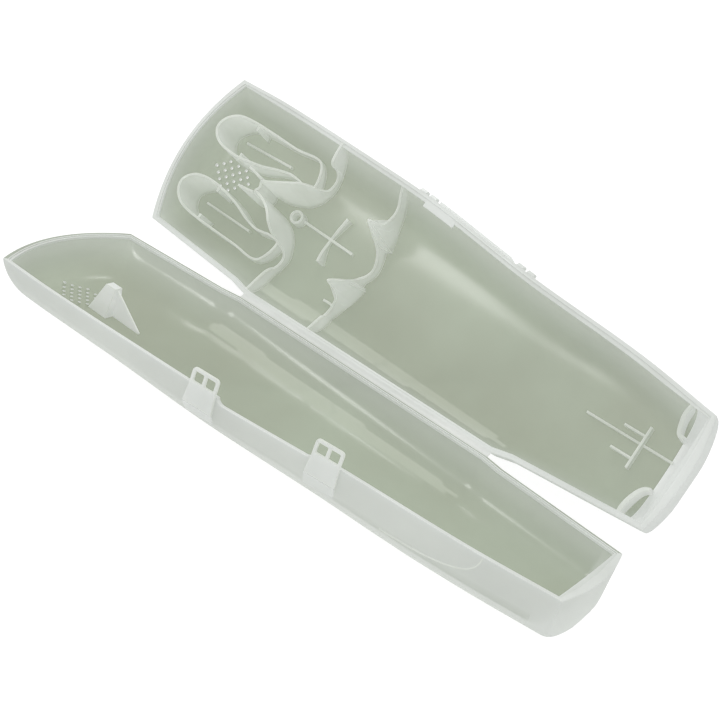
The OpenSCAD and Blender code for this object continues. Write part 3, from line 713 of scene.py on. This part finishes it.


# Sweeps a profile along the line and stands it on the floor. The share runs up the wall from 0 to 3:
# up to 1 is the band at the foot, up to 2 the wall between and up to 3 the band at the top. Both bands get the
# painted highlight.
def wallTree():
    tree, given, out = nodeTree("wallOnFloor", [
        ("Geometry", "Geometry"), ("Floor", "Object"), ("Profile", "Object"), ("Spacing", "Float"),
        ("Foot", "Float"), ("Top Band", "Float"), ("Foot Band", "Float"), ("Finish", "Material"),
        ("Edge Finish", "Material")])
    add = nodeMaker(tree)
    calc = mathMaker(add)

    def stored(geometry, name, value):
        return add("GeometryNodeStoreNamedAttribute", {"Geometry": geometry, "Name": name, "Value": value},
                   data_type="FLOAT", domain="POINT").outputs[0]

    def named(name):
        return add("GeometryNodeInputNamedAttribute", {"Name": name}, data_type="FLOAT").outputs["Attribute"]

    def split(vector):
        return add("ShaderNodeSeparateXYZ", {0: vector}).outputs

    place = split(add("GeometryNodeInputPosition").outputs[0])
    line = add("GeometryNodeMeshToCurve", {"Mesh": given["Geometry"]})
    smooth = add("GeometryNodeCurveSplineType", {"Curve": line.outputs[0]}, spline_type="CATMULL_ROM")
    even = add("GeometryNodeResampleCurve", {"Curve": smooth.outputs[0], "Length": given["Spacing"]},
               mode="LENGTH")
    floor = add("GeometryNodeObjectInfo", {"Object": given["Floor"]})
    ray = add("GeometryNodeRaycast", {
        "Target Geometry": floor.outputs["Geometry"], "Ray Direction": (0, 0, -1), "Ray Length": inner["rayLength"]})
    marked = stored(even.outputs[0], "floorHeight", split(ray.outputs["Hit Position"])["Z"])
    marked = stored(marked, "topHeight", place["Z"])
    miss = add("FunctionNodeBooleanMath", {0: ray.outputs["Is Hit"]}, operation="NOT")
    held = add("GeometryNodeDeleteGeometry", {"Geometry": marked, "Selection": miss.outputs[0]},
               domain="POINT")
    level = add("ShaderNodeCombineXYZ", {"X": place["X"], "Y": place["Y"]})
    flat = add("GeometryNodeSetPosition", {"Geometry": held.outputs[0], "Position": level.outputs[0]})
    upright = add("GeometryNodeSetCurveNormal", {0: flat.outputs[0]}, mode="Z_UP")
    profile = add("GeometryNodeObjectInfo", {"Object": given["Profile"]})
    section = add("GeometryNodeMeshToCurve", {"Mesh": profile.outputs["Geometry"]})
    swept = add("GeometryNodeCurveToMesh", {
        "Curve": upright.outputs[0], "Profile Curve": section.outputs[0], "Fill Caps": True})
    marked = stored(swept.outputs[0], "share", calc("ABSOLUTE", place["Z"]))
    share, floorZ = named("share"), named("floorHeight")
    lowest = calc("SUBTRACT", floorZ, given["Foot"])
    top = calc("MAXIMUM", named("topHeight"), lowest)
    first = calc("MINIMUM", calc("ADD", floorZ, given["Foot Band"]), top)
    second = calc("MAXIMUM", calc("SUBTRACT", top, given["Top Band"]), first)
    height = lowest
    for k, (low, high) in enumerate(((lowest, first), (first, second), (second, top))):
        part = calc("SUBTRACT", share, float(k), limit=True)
        height = calc("MULTIPLY_ADD", part, calc("SUBTRACT", high, low), height)
    raised = add("ShaderNodeCombineXYZ", {"X": place["X"], "Y": place["Y"], "Z": height})
    wall = add("GeometryNodeSetPosition", {"Geometry": marked, "Position": raised.outputs[0]})
    real = add("GeometryNodeRealizeInstances", {0: wall.outputs[0]})
    # The bands at the foot and at the top get the painted highlight
    highlightBands = calc("GREATER_THAN", calc("ABSOLUTE", calc("SUBTRACT", share, 1.5)), inner["highlightFrom"])
    body = withFinish(add, real.outputs[0], given["Finish"])
    tree.links.new(withFinish(add, body, given["Edge Finish"], highlightBands), out.inputs[0])
    return tree


wallNodes = wallTree()


# Half of the width against the share of the height: foot, foot band, top band and a rounded top
def wallProfile(thick):
    half, soft, band = thick / 2, inner["round"], inner["topBand"]
    bend = soft * inner["soften"]
    side = [(half, 0), (half, 1), (half, 2), (half, 3 - soft / band), (half - bend, 3 - bend / band),
            (half - soft, 3)]
    points = [(x, y, 0) for x, y in side] + [(-x, y, 0) for x, y in side[::-1]]
    return linked("wallProfile", pathMesh("wallProfile", [(points, True)]))


def pathMesh(name, paths):
    points, edges = [], []
    for path, closed in paths:
        first = len(points)
        points += [tuple(p) for p in path]
        edges += [(first + k, first + k + 1) for k in range(len(path) - 1)]
        if closed:
            edges.append((len(points) - 1, first))
    return meshOf(name, points, [], edges)


def faceOutwards(mesh, merge=None):
    tidy = bmesh.new()
    tidy.from_mesh(mesh)
    if merge:
        bmesh.ops.remove_doubles(tidy, verts=tidy.verts, dist=merge)
    bmesh.ops.recalc_face_normals(tidy, faces=tidy.faces)
    tidy.to_mesh(mesh)
    tidy.free()


def standingWall(name, paths, replaced, thick=None, finish="thinWall"):
    piece = linked(name, pathMesh(name, paths))
    profile = wallProfile(thick or inner["thick"])
    modifier = piece.modifiers.new("wallOnFloor", "NODES")
    modifier.node_group = wallNodes
    setInputs(modifier, {
        "Floor": floorGuide, "Profile": profile, "Spacing": inner["spacing"], "Foot": inner["foot"],
        "Top Band": inner["topBand"], "Foot Band": inner["footBand"],
        "Finish": plastics[finish], "Edge Finish": plastics["wallEdge"]})
    bakeDown(piece)
    bpy.data.objects.remove(profile)
    faceOutwards(piece.data)
    standUp(piece, "base")
    smoothShade(piece)
    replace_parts(piece, replaced)
    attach(piece, "base")


# A solid with flat faces and edges painted light as a highlight, in a shell's own frame
def blockPiece(name, points, side, finish, soft=0.25, highlightFinish="wallEdge"):
    shape = bmesh.new()
    for point in points:
        shape.verts.new(point)
    bmesh.ops.convex_hull(shape, input=shape.verts)
    bmesh.ops.delete(shape, geom=[v for v in shape.verts if not v.link_faces], context="VERTS")
    bmesh.ops.recalc_face_normals(shape, faces=shape.faces)
    mesh = bpy.data.meshes.new(name)
    shape.to_mesh(mesh)
    shape.free()
    piece = linked(name, mesh)
    mesh.materials.append(plastics[finish])
    standUp(piece, side)
    litEdges(piece, soft, highlightFinish)
    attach(piece, side)
    return piece


# Bevels the sharp edges of a piece and gives the bevels their own finish, a painted highlight where it is the wall
# highlight
def litEdges(piece, width, finish):
    piece.data.materials.append(plastics[finish])
    bevel = piece.modifiers.new("litEdges", "BEVEL")
    bevel.width = width * mm
    bevel.segments = 2
    bevel.limit_method = "ANGLE"
    bevel.angle_limit = math.radians(25)
    bevel.material = len(piece.data.materials) - 1


# Brush head cradles: boat-shaped walls, high at the nose, with one straight side
cradle = {
    "top": 4.0, "half": 7.2, "length": 46.0, "nose": 0.14, "tailTop": -9.0, "fall": 0.52, "crown": 2.0,
    "x": 3.6, "narrow": 1.16, "ribRise": 3.0, "ribReach": (0.13, 0.65), "ribOff": 0.8,
    "nib": 1.8, "nibAt": 0.27, "nibShift": 1.2, "nibDrop": 3.0,
}
cradlePlaces = {
    "Front": {"y": 54.0, "turn": 1.2, "mirrored": False},
    "Rear": {"y": 24.2, "turn": -2.1, "mirrored": True},
}
cradleOutline = [
    (0.92, 1), (0.65, 1), (0.43, 1.01), (0.26, 0.98), (0.152, 0.83), (0.07, 0.5), (0.026, 0.11),
    (0.017, -0.31), (0.048, -0.67), (0.109, -0.97), (0.196, -1.15), (0.304, -1.17), (0.391, -1.06),
    (0.5, -0.88), (0.609, -0.58), (0.73, -0.4), (0.826, -0.47), (0.891, -0.54), (1, -0.36),
]


def cradleHeight(share):
    q = min(max((share - cradle["nose"]) / cradle["fall"], 0), 1)
    return cradle["top"] - (cradle["top"] - cradle["tailTop"]) * q + cradle["crown"] * q * (1 - q)


def placeCradle(path, place):
    c, s = math.cos(math.radians(place["turn"])), math.sin(math.radians(place["turn"]))
    moved = []
    for px, py, pz in path:
        py = -py if place["mirrored"] else py
        moved.append((cradle["x"] + px * c - py * s, place["y"] + px * s + py * c, pz))
    return moved


def makeCradles():
    length, half, thick = cradle["length"], cradle["half"], inner["thick"]
    outline = [(a * length, b * half, cradleHeight(a)) for a, b in cradleOutline]
    nibX = cradle["nibAt"] * length + cradle["nibShift"]
    nibTop = cradleHeight(cradle["nibAt"]) - cradle["nibDrop"]
    wide, narrow = half - thick / 2, -cradle["narrow"] * half + thick / 2
    ribTop = overFloor(length / 2, cradle["ribRise"])
    for end, place in cradlePlaces.items():
        paths = [(placeCradle(outline, place), True)]
        for a, b in ((wide, wide - cradle["nib"]), (narrow, narrow + cradle["nib"])):
            paths.append((placeCradle([(nibX, a, nibTop), (nibX, b, nibTop)], place), False))
        standingWall("brushCradle" + end, paths, "brush_cradle_" + end.lower())
        ribY = -cradle["ribOff"] if place["mirrored"] else cradle["ribOff"] - thick / 2
        rib = [(share * length, ribY, ribTop) for share in cradle["ribReach"]]
        standingWall("cradleRib" + end, [(placeCradle(rib, place), False)], "cradle_rib_" + end.lower())


makeCradles()
print("cradles stand")

# The neck saddle: shares of its length, of its span and of its height, from the middle outwards
neck = {
    "x": 34.6, "y": 39.8, "shoulder": 11.5, "low": -11.0, "length": 21.0, "span": 25.88, "endAt": 0.93,
}
frontArm = [
    (0, 0, 0.53), (0, 0.088, 0.6), (0.186, 0.092, 0.8), (0.381, 0.115, 0.93), (0.667, 0.2, 1),
    (0.771, 0.265, 0.93), (0.862, 0.346, 0.8), (0.919, 0.431, 0.49), (0.938, 0.477, 0.22),
    (0.976, 0.546, 0.04), (1, 0.665, 0), (1, 0.785, 0.04), (0.99, 0.865, 0.22), (0.981, 0.9, 0.51),
]
rearArm = [
    (0, 0.085, 0.6), (0.186, 0.112, 0.78), (0.381, 0.15, 0.9), (0.59, 0.223, 0.98), (0.733, 0.315, 1),
    (0.829, 0.415, 0.97), (0.89, 0.508, 0.78), (0.919, 0.562, 0.5), (0.938, 0.596, 0.24),
    (0.957, 0.638, 0.09), (0.971, 0.735, 0.02), (0.948, 0.877, 0.04), (0.914, 1.03, 0.22),
]
neckFinger = {"off": 4.1, "line": [(-5, 0, 7), (-3.4, 0.2, 6), (-0.6, 1.2, 2)]}


def makeNeckSaddle():
    x, y = neck["x"], neck["y"]

    def arm(rows, side):
        return [(x + a * neck["length"], y + side * b * neck["span"],
                 neck["low"] + c * (neck["shoulder"] - neck["low"])) for a, b, c in rows]

    endX, endTop = x + neck["endAt"] * neck["length"], (neck["low"] + neck["shoulder"]) / 2
    path = ([(endX, hingeEdge(endX), endTop)] + arm(rearArm, -1)[::-1] + arm(frontArm, 1)
            + [(endX, frontEdge(endX), endTop)])
    standingWall("neckSaddle", [(path, False)], "neck_saddle")
    for end, side in (("Front", 1), ("Rear", -1)):
        path = [(x + a, y + side * (neckFinger["off"] - b), top) for a, b, top in neckFinger["line"]]
        standingWall("neckFinger" + end, [(path, False)], "neck_finger_" + end.lower())


makeNeckSaddle()

floorMarks = {
    "ringX": 48.9, "ringY": 38.6, "ringSize": 4.8, "ringRise": 5.0, "ringThick": 1.0, "ringStep": 30,
    "stem": [(51.5, 39.0, 2.0), (77.0, 37.7, 2.0)], "crossThick": 1.1,
    "crossBar": [(68.4, 48.4, 4.7), (66.8, 42.5, 3.4), (65.6, 37.3, 1.8), (66.5, 32.5, 4.2),
                 (68.6, 27.8, 7.5)],
}


def makeFloorMarks():
    x, y, r = floorMarks["ringX"], floorMarks["ringY"], floorMarks["ringSize"] / 2
    top = overFloor(x, floorMarks["ringRise"])
    turns = [math.radians(a) for a in range(0, 360, floorMarks["ringStep"])]
    ring = [(x + r * math.cos(a), y + r * math.sin(a), top) for a in turns]
    standingWall("locatingRing", [(ring, True)], "locating_ring", thick=floorMarks["ringThick"])
    paths = [([(bx, by, floorAt(bx, by) + rise) for bx, by, rise in floorMarks[bar]], False)
             for bar in ("crossBar", "stem")]
    standingWall("floorCross", paths, "floor_cross", thick=floorMarks["crossThick"])


makeFloorMarks()

handle = {"x": 90.0, "y": 35.8, "dip": -12.0, "prong": 11.5, "bow": 5.0, "span": 30.2, "endBack": 0.9}
handleLine = [
    (-0.84, -0.873, 0.32), (-0.9, -0.8, 0.19), (-0.72, -0.683, 0.234), (-0.56, -0.56, 0.36),
    (-0.48, -0.5, 0.6), (-0.46, -0.463, 1), (-0.28, -0.35, 0.7), (-0.34, -0.27, 0.38),
    (-0.44, -0.177, 0.085), (-0.14, -0.07, 0), (0, 0.047, 0.02), (-0.18, 0.197, 0.106),
    (-0.36, 0.287, 0.277), (-0.48, 0.363, 0.6), (-0.42, 0.443, 1), (-0.34, 0.523, 0.553),
    (-0.44, 0.69, 0.32), (-0.58, 0.847, 0.277), (-0.78, 1.01, 0.404),
]
# Corners of the wedges behind the two prongs, with no height where they stand on the floor
prongBrackets = {
    "Front": [(87.9, 49.2, 11.0), (88.0, 46.6, 3.0), (87.9, 55.5, -4.0), (88.1, 55.0, None),
              (89.4, 51.8, None), (90.4, 46.3, None), (87.8, 44.9, None), (88.6, 44.9, -9.0)],
    "Rear": [(87.8, 21.8, 11.0), (88.6, 25.6, 3.4), (88.4, 27.8, -4.0), (89.2, 29.3, None),
             (90.0, 28.2, None), (88.6, 21.0, None), (87.2, 17.4, None), (87.2, 17.4, -6.0)],
}
bracketSink = 0.3
gusset = {
    "back": 0.7, "aside": 0.66, "thick": 0.96,
    "line": [(-8.5, 0.6, -14.4), (-5, 0.6, -13.2), (-0.7, 0, -8.4)],
}


def makeHandleSaddle():
    x, y, dip, top = handle["x"], handle["y"], handle["dip"], handle["prong"]
    bow, span = handle["bow"], handle["span"]
    endX, endTop = x - handle["endBack"] * bow, (dip + top) / 2
    path = ([(endX, hingeEdge(endX), endTop)]
            + [(x + a * bow, y + b * span, dip + c * (top - dip)) for a, b, c in handleLine]
            + [(endX, frontEdge(endX), endTop)])
    standingWall("handleSaddle", [(path, False)], "handle_saddle")
    for end, corners in prongBrackets.items():
        points = [(cx, cy, floorAt(cx, cy) - bracketSink if cz is None else cz) for cx, cy, cz in corners]
        blockPiece("prongBracket" + end, points, "base", "thinWall")
    gx, gy = x - gusset["back"] * bow, y - gusset["aside"] * span
    path = [(gx + a, gy + b, level) for a, b, level in gusset["line"]]
    standingWall("saddleGusset", [(path, False)], "saddle_gusset", thick=gusset["thick"])


makeHandleSaddle()

stop = {
    "x": 214.0, "y": 31.6, "half": 8.5, "rise": 4.5, "ribs": (-4.7, 4.6), "ribReach": (-9.0, -0.3),
    "ribDrop": 1.0, "centreOff": 1.6, "centre": [((0.6, 12.6), 1.8), ((-23.6, -0.6), 1.0)],
}


def makeEndStop():
    x, y = stop["x"], stop["y"]
    top = overFloor(x, stop["rise"])
    paths = [([(x, y - stop["half"], top), (x, y + stop["half"], top)], False)]
    for offset in stop["ribs"]:
        paths.append(([(x + a, y + offset, top - stop["ribDrop"]) for a in stop["ribReach"]], False))
    standingWall("endStop", paths, "end_stop")
    paths = [([(x + a, y + stop["centreOff"], overFloor(x, rise)) for a in reach], False)
             for reach, rise in stop["centre"]]
    standingWall("stopCentreRib", paths, "stop_centre_rib")


makeEndStop()

# Walls across the tail corners, measured from the front edge and from the hinge edge
pocket = {
    "x": 222.6, "thick": 1.7,
    "Front": [(1.6, 0, -5), (0.2, -5, -6), (0.4, -9, -8), (1.6, -12.6, -9.5), (3.9, -13.2, -10)],
    "Rear": [(-0.4, -1, -5), (-0.8, 5, -6), (0.2, 10.5, -8), (1.8, 13.6, -9.5), (3.8, 14.6, -10)],
}


def makeTailPockets():
    x = pocket["x"]
    for end, edge in (("Front", frontEdge(x)), ("Rear", hingeEdge(x))):
        path = [(x + a, edge + b, level) for a, b, level in pocket[end]]
        standingWall("tailPocket" + end, [(path, False)], "tail_pocket_" + end.lower(),
                     thick=pocket["thick"], finish="thickRib")


makeTailPockets()
bpy.data.objects.remove(floorGuide)
print("inner walls stand")


# Each rim has a ledge inside it, one step down, and the base a pad where the latches catch
ledge = {
    "inset": 1.2, "baseWidth": 0.8, "baseFrontWidth": 1.6, "lidWidth": 0.9, "drop": 0.45,
    "thick": 0.9, "fade": 12,
}
catchPad = {"start": 98.0, "end": 113.0, "width": 3.2, "top": -0.4, "thick": 1.0, "steps": 8}
boxSection = ((0, 0), (1, 0), (1, 1), (0, 1))


def sectionLoop(name, sections, side, finish, closed):
    n, count = len(sections[0]), len(sections)
    faces = []
    for k in range(count if closed else count - 1):
        here, ahead = n * k, n * ((k + 1) % count)
        faces += [(here + c, here + (c + 1) % n, ahead + (c + 1) % n, ahead + c) for c in range(n)]
    if not closed:
        faces += [tuple(range(n)), tuple(n * (count - 1) + c for c in range(n))[::-1]]
    mesh = meshOf(name, [p for section in sections for p in section], faces)
    faceOutwards(mesh)
    piece = linked(name, mesh)
    mesh.materials.append(plastics[finish])
    standUp(piece, side)
    smoothShade(piece, 30)
    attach(piece, side)


def makeLedge(side):
    rows, angles = shellRows(), acrossAngles()
    sections = []
    for i, j in rimBorder(len(rows), len(angles)):
        width = ledge[side + "Width"]
        if side == "base" and j == len(angles) - 1:
            along = rows[i][0] / shell["length"]
            grown = min(along * ledge["fade"], (1 - along) * ledge["fade"], 1)
            width += (ledge["baseFrontWidth"] - width) * grown
        section = []
        for out, down in boxSection:
            p = bodyPoint(rows[i][0], 0, angles[j], ledge["inset"] + width * out)
            p.z = rimHeight(p, side == "lid") - ledge["drop"] - ledge["thick"] * down
            section.append(p)
        sections.append(section)
    sectionLoop(side + "Ledge", sections, side, "brightRim", True)


def makeCatchPad():
    sections = []
    for k in range(catchPad["steps"] + 1):
        x = catchPad["start"] + (catchPad["end"] - catchPad["start"]) * k / catchPad["steps"]
        edge = frontEdge(x) - ledge["inset"]
        sections.append([(x, edge - catchPad["width"] * out, catchPad["top"] - catchPad["thick"] * down)
                         for out, down in boxSection])
    sectionLoop("catchPad", sections, "base", "brightRim", False)


for side in ("base", "lid"):
    makeLedge(side)
makeCatchPad()
print("ledges run inside the rims")


# Hinge strip, which bends between the two shells
strip = {"samples": 9, "along": 60, "overlap": 0.5}


def bentLine(start, middle, end, t):
    return start * (1 - t) ** 2 + middle * 2 * t * (1 - t) + end * t * t


def headingAt(line, k):
    return (line[min(k + 1, len(line) - 1)] - line[max(k - 1, 0)]).normalized()


def makeHingeStrip():
    half = stance["halfOpen"]
    reach, thick = web["reach"] + strip["overlap"], web["thick"]
    middle = shell["rim"] - thick / 2
    baseEnd, lidEnd = [Vector((s * (reach * math.cos(half) - middle * math.sin(half)),
                               reach * math.sin(half) + middle * math.cos(half))) for s in (1, -1)]
    bottom = Vector((0.0, middle / math.cos(half)))
    line = [bentLine(baseEnd, bottom, lidEnd, k / (strip["samples"] - 1)) for k in range(strip["samples"])]
    over, under = [], []
    for k, p in enumerate(line):
        heading = headingAt(line, k)
        across = Vector((-heading.y, heading.x)) * thick / 2
        over.append(p + across)
        under.append(p - across)
    ring = over + under[::-1]
    count, n = strip["along"], len(ring)
    points = [leaned @ Vector((web["start"] + (web["end"] - web["start"]) * i / count, p.x, p.y))
              for i in range(count + 1) for p in ring]
    faces = [(i * n + k, i * n + (k + 1) % n, (i + 1) * n + (k + 1) % n, (i + 1) * n + k)
             for i in range(count) for k in range(n)]
    faces += [tuple(range(n))[::-1], tuple(range(count * n, count * n + n))]
    mesh = meshOf("hingeStrip", points, faces)
    piece = linked("hingeStrip", mesh)
    faceOutwards(mesh)
    mesh.materials.append(plastics["hingeStrip"])
    smoothShade(piece)
    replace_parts(piece, "hinge_leaf_base", "hinge_leaf_lid")
    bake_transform(piece)


makeHingeStrip()
print("hinge strip bends")


# Latch loops on the lid
loop = {
    "headX": 96.5, "tailX": 146.0, "rise": 6.6, "strap": 7.0, "thick": 1.2, "windowWidth": 3.7,
    "windowHeight": 4.0, "bar": 1.2, "gap": 0.35, "corner": 1.6, "flare": 0.6, "soft": 0.22,
    "windowCorner": 0.5, "cornerSteps": 5, "merge": 0.001, "flatness": 0.9,
}
root = {"gap": 0.1, "run": 5.5, "steps": 6, "curve": 1.5, "depth": 1.0}


def roundCorners(points, radius):
    done = []
    for k, p in enumerate(points):
        p, a, b = Vector(p), Vector(points[k - 1]), Vector(points[(k + 1) % len(points)])
        r = radius[k]
        if r == 0:
            done.append(p)
            continue
        start, end = p + (a - p).normalized() * r, p + (b - p).normalized() * r
        done += [bentLine(start, p, end, s / loop["cornerSteps"]) for s in range(loop["cornerSteps"] + 1)]
    return done


def hangOnFront(x, reach=4.0):
    turn = math.atan((frontEdge(x + reach) - frontEdge(x - reach)) / (2 * reach))
    return Matrix.Translation((x, frontEdge(x), 0)) @ Matrix.Rotation(turn, 4, "Z")


# How far out a shell's wall stands at this height, as a share of its half width
def wallShare(x, z):
    share = min(max((shell["rim"] - z) / depthAt(x), 0), 1)
    power = squareness(x)
    return (1 - share ** power) ** (1 / power)


# Half of the width of two windows with three bars
def loopHalf():
    return loop["windowWidth"] + loop["bar"] * 1.5


# The root carries the strap and runs out into the curve of the wall
def makeRoot(name, x, node):
    half = loopHalf() + loop["flare"]
    top = -loop["strap"] - root["gap"]
    reach = loop["gap"] + loop["thick"]

    def wallOut(z):
        return (wallShare(x, z) - 1) * (frontEdge(x) - hingeEdge(x)) / 2

    line = []
    for k in range(root["steps"] + 1):
        t = k / root["steps"]
        z = top - root["run"] * t
        line.append((wallOut(z) + (reach - wallOut(top)) * (1 - t) ** root["curve"], z))
    sides = line + [(d - root["depth"], z) for d, z in line[::-1]]
    points = [(u * half, d, z) for u in (-1, 1) for d, z in sides]
    n = len(sides)
    faces = [tuple(range(n)), tuple(range(2 * n - 1, n - 1, -1))]
    faces += [(k, (k + 1) % n, n + (k + 1) % n, n + k) for k in range(n)]
    mesh = meshOf(name, points, faces)
    faceOutwards(mesh)
    mesh.transform(hangOnFront(x))
    piece = linked(name, mesh)
    mesh.materials.append(plastics["latchPlastic"])
    standUp(piece, "lid")
    litEdges(piece, loop["soft"], "latchPlastic")
    smoothShade(piece, 30)
    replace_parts(piece, node)
    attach(piece, "lid")


def loopOutlines():
    w = loopHalf()
    rise, strap, wide = loop["rise"], loop["strap"], w + loop["flare"]
    outlines = [roundCorners(
        [(-wide, -strap), (wide, -strap), (w, 0), (w, rise), (-w, rise), (-w, 0)],
        [0, 0, 0, loop["corner"], loop["corner"], 0])]
    top = rise - loop["bar"]
    low = top - loop["windowHeight"]
    for side in (-1, 1):
        middle = side * (loop["windowWidth"] + loop["bar"]) / 2
        a, b = middle - loop["windowWidth"] / 2, middle + loop["windowWidth"] / 2
        outlines.append(roundCorners([(a, low), (a, top), (b, top), (b, low)], [loop["windowCorner"]] * 4))
    return outlines


def makeLoop(name, x, body, node):
    curve = bpy.data.curves.new(name, "CURVE")
    curve.dimensions = "2D"
    curve.fill_mode = "BOTH"
    for points in loopOutlines():
        spline = curve.splines.new("POLY")
        spline.points.add(len(points) - 1)
        for target, p in zip(spline.points, points):
            target.co = (p[0], p[1], 0, 1)
        spline.use_cyclic_u = True
    curve.extrude = loop["thick"] / 2 - loop["soft"]
    curve.bevel_depth = loop["soft"]
    curve.bevel_resolution = 2
    curve.offset = -loop["soft"]
    shape = linked(name + "Outline", curve)
    graph = bpy.context.evaluated_depsgraph_get()
    mesh = bpy.data.meshes.new_from_object(shape.evaluated_get(graph))
    bpy.data.objects.remove(shape)
    mesh.name = name
    faceOutwards(mesh, loop["merge"])
    mesh.materials.clear()
    mesh.materials.append(plastics["latchPlastic"])
    mesh.materials.append(plastics["wallEdge"])
    # The sides of the loop get the painted highlight
    for face in mesh.polygons:
        face.material_index = int(abs(face.normal.z) < loop["flatness"])
    upright = Matrix.Rotation(math.radians(90), 4, "X")
    outwards = Matrix.Translation((0, loop["gap"] + loop["thick"] / 2, 0))
    mesh.transform(hangOnFront(x) @ outwards @ upright)
    piece = linked(name, mesh)
    standUp(piece, "lid")
    smoothShade(piece)
    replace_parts(piece, node)
    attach(piece, body)


for end in ("Head", "Tail"):
    makeRoot("loopRoot" + end, loop[end.lower() + "X"], "loop_root_" + end.lower())
for end in ("Head", "Tail"):
    makeLoop("latchLoop" + end, loop[end.lower() + "X"], "latch_" + end.lower(), "latch_loop_" + end.lower())
print("latch loops hang")


# The hold-down on the floor of the lid: a tapered post with a long fin behind it
holdDown = {
    "x": (22.0, 26.9), "y": (37.3, 41.2), "top": -5.0, "spread": (3.3, 1.0, 1.8, 2.8), "sink": 0.2,
    "finEnd": 41.6, "finThick": 1.0, "finIn": 0.8, "finDrop": 0.2, "finTail": 0.4,
}


def makeHoldDown():
    (x0, x1), (y0, y1) = holdDown["x"], holdDown["y"]
    left, right, rear, front = holdDown["spread"]
    top, sink = holdDown["top"], holdDown["sink"]
    post = [(x, y, top) for x in (x0, x1) for y in (y0, y1)]
    post += [(x, y, floorAt(x, y) - sink) for x in (x0 - left, x1 + right) for y in (y0 - rear, y1 + front)]
    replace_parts(blockPiece("holdDownPost", post, "lid", "thickRib"), "neck_hold_down")
    middle, half = (y0 + y1) / 2, holdDown["finThick"] / 2
    start, end = x1 - holdDown["finIn"], holdDown["finEnd"]
    fin = []
    for y in (middle - half, middle + half):
        fin += [(start, y, top - holdDown["finDrop"]), (start, y, floorAt(x1, middle) - sink)]
        fin += [(end, y, floorAt(end, middle) - sink), (end, y, floorAt(end, middle) + holdDown["finTail"])]
    blockPiece("holdDownFin", fin, "lid", "thickRib")


makeHoldDown()


# A fine raised line round the end of the grip panel on each front wall, all in the painted highlight
gripPanel = {
    "line": [(206, -0.9), (205, -4.5), (201.5, -7.8), (194, -10.3), (183, -11.8), (168, -12.4)],
    "half": 0.25, "slant": 0.5, "steps": 4,
    "profile": ((-1, -0.4), (-1, 0.08), (0, 0.2), (1, 0.08), (1, -0.4)),  # across and out
}


def wallPoint(x, z, out):
    low, high = hingeEdge(x), frontEdge(x)
    y = (low + high) / 2 + wallShare(x, z) * (high - low) / 2 + out
    return Vector((x, y, z - out * gripPanel["slant"]))


def throughPoints(path, steps):
    fineLine = []
    for k in range(len(path) - 1):
        p0, p3 = Vector(path[max(k - 1, 0)]), Vector(path[min(k + 2, len(path) - 1)])
        p1, p2 = Vector(path[k]), Vector(path[k + 1])
        for t in [s / steps for s in range(steps)]:
            fineLine.append(0.5 * (2 * p1 + (p2 - p0) * t + (2 * p0 - 5 * p1 + 4 * p2 - p3) * t * t
                                   + (3 * p1 - p0 - 3 * p2 + p3) * t ** 3))
    return fineLine


def makePanelLine(side):
    line = throughPoints(gripPanel["line"], gripPanel["steps"])
    sections = []
    for k, p in enumerate(line):
        heading = headingAt(line, k)
        across = Vector((heading.y, -heading.x)) * gripPanel["half"]
        sections.append([wallPoint(p.x + across.x * s, p.y + across.y * s, out)
                         for s, out in gripPanel["profile"]])
    sectionLoop(side + "PanelLine", sections, side, "wallEdge", False)


for side in ("base", "lid"):
    makePanelLine(side)
print("hold-down and panel lines made")


# CAD pieces that stay as they are, with the plastic of what carries them
keptFinish = {
    "finger_panel": "frostedOutside",
    "catch_head": "brightRim",
    "catch_tail": "brightRim",
}
for node, finish in keptFinish.items():
    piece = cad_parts[node]
    piece.data.materials.clear()
    piece.data.materials.append(plastics[finish])
    # Their bevelled edges get the painted highlight
    litEdges(piece, loop["soft"], "wallEdge")
print("kept pieces finished:", len(keptFinish))
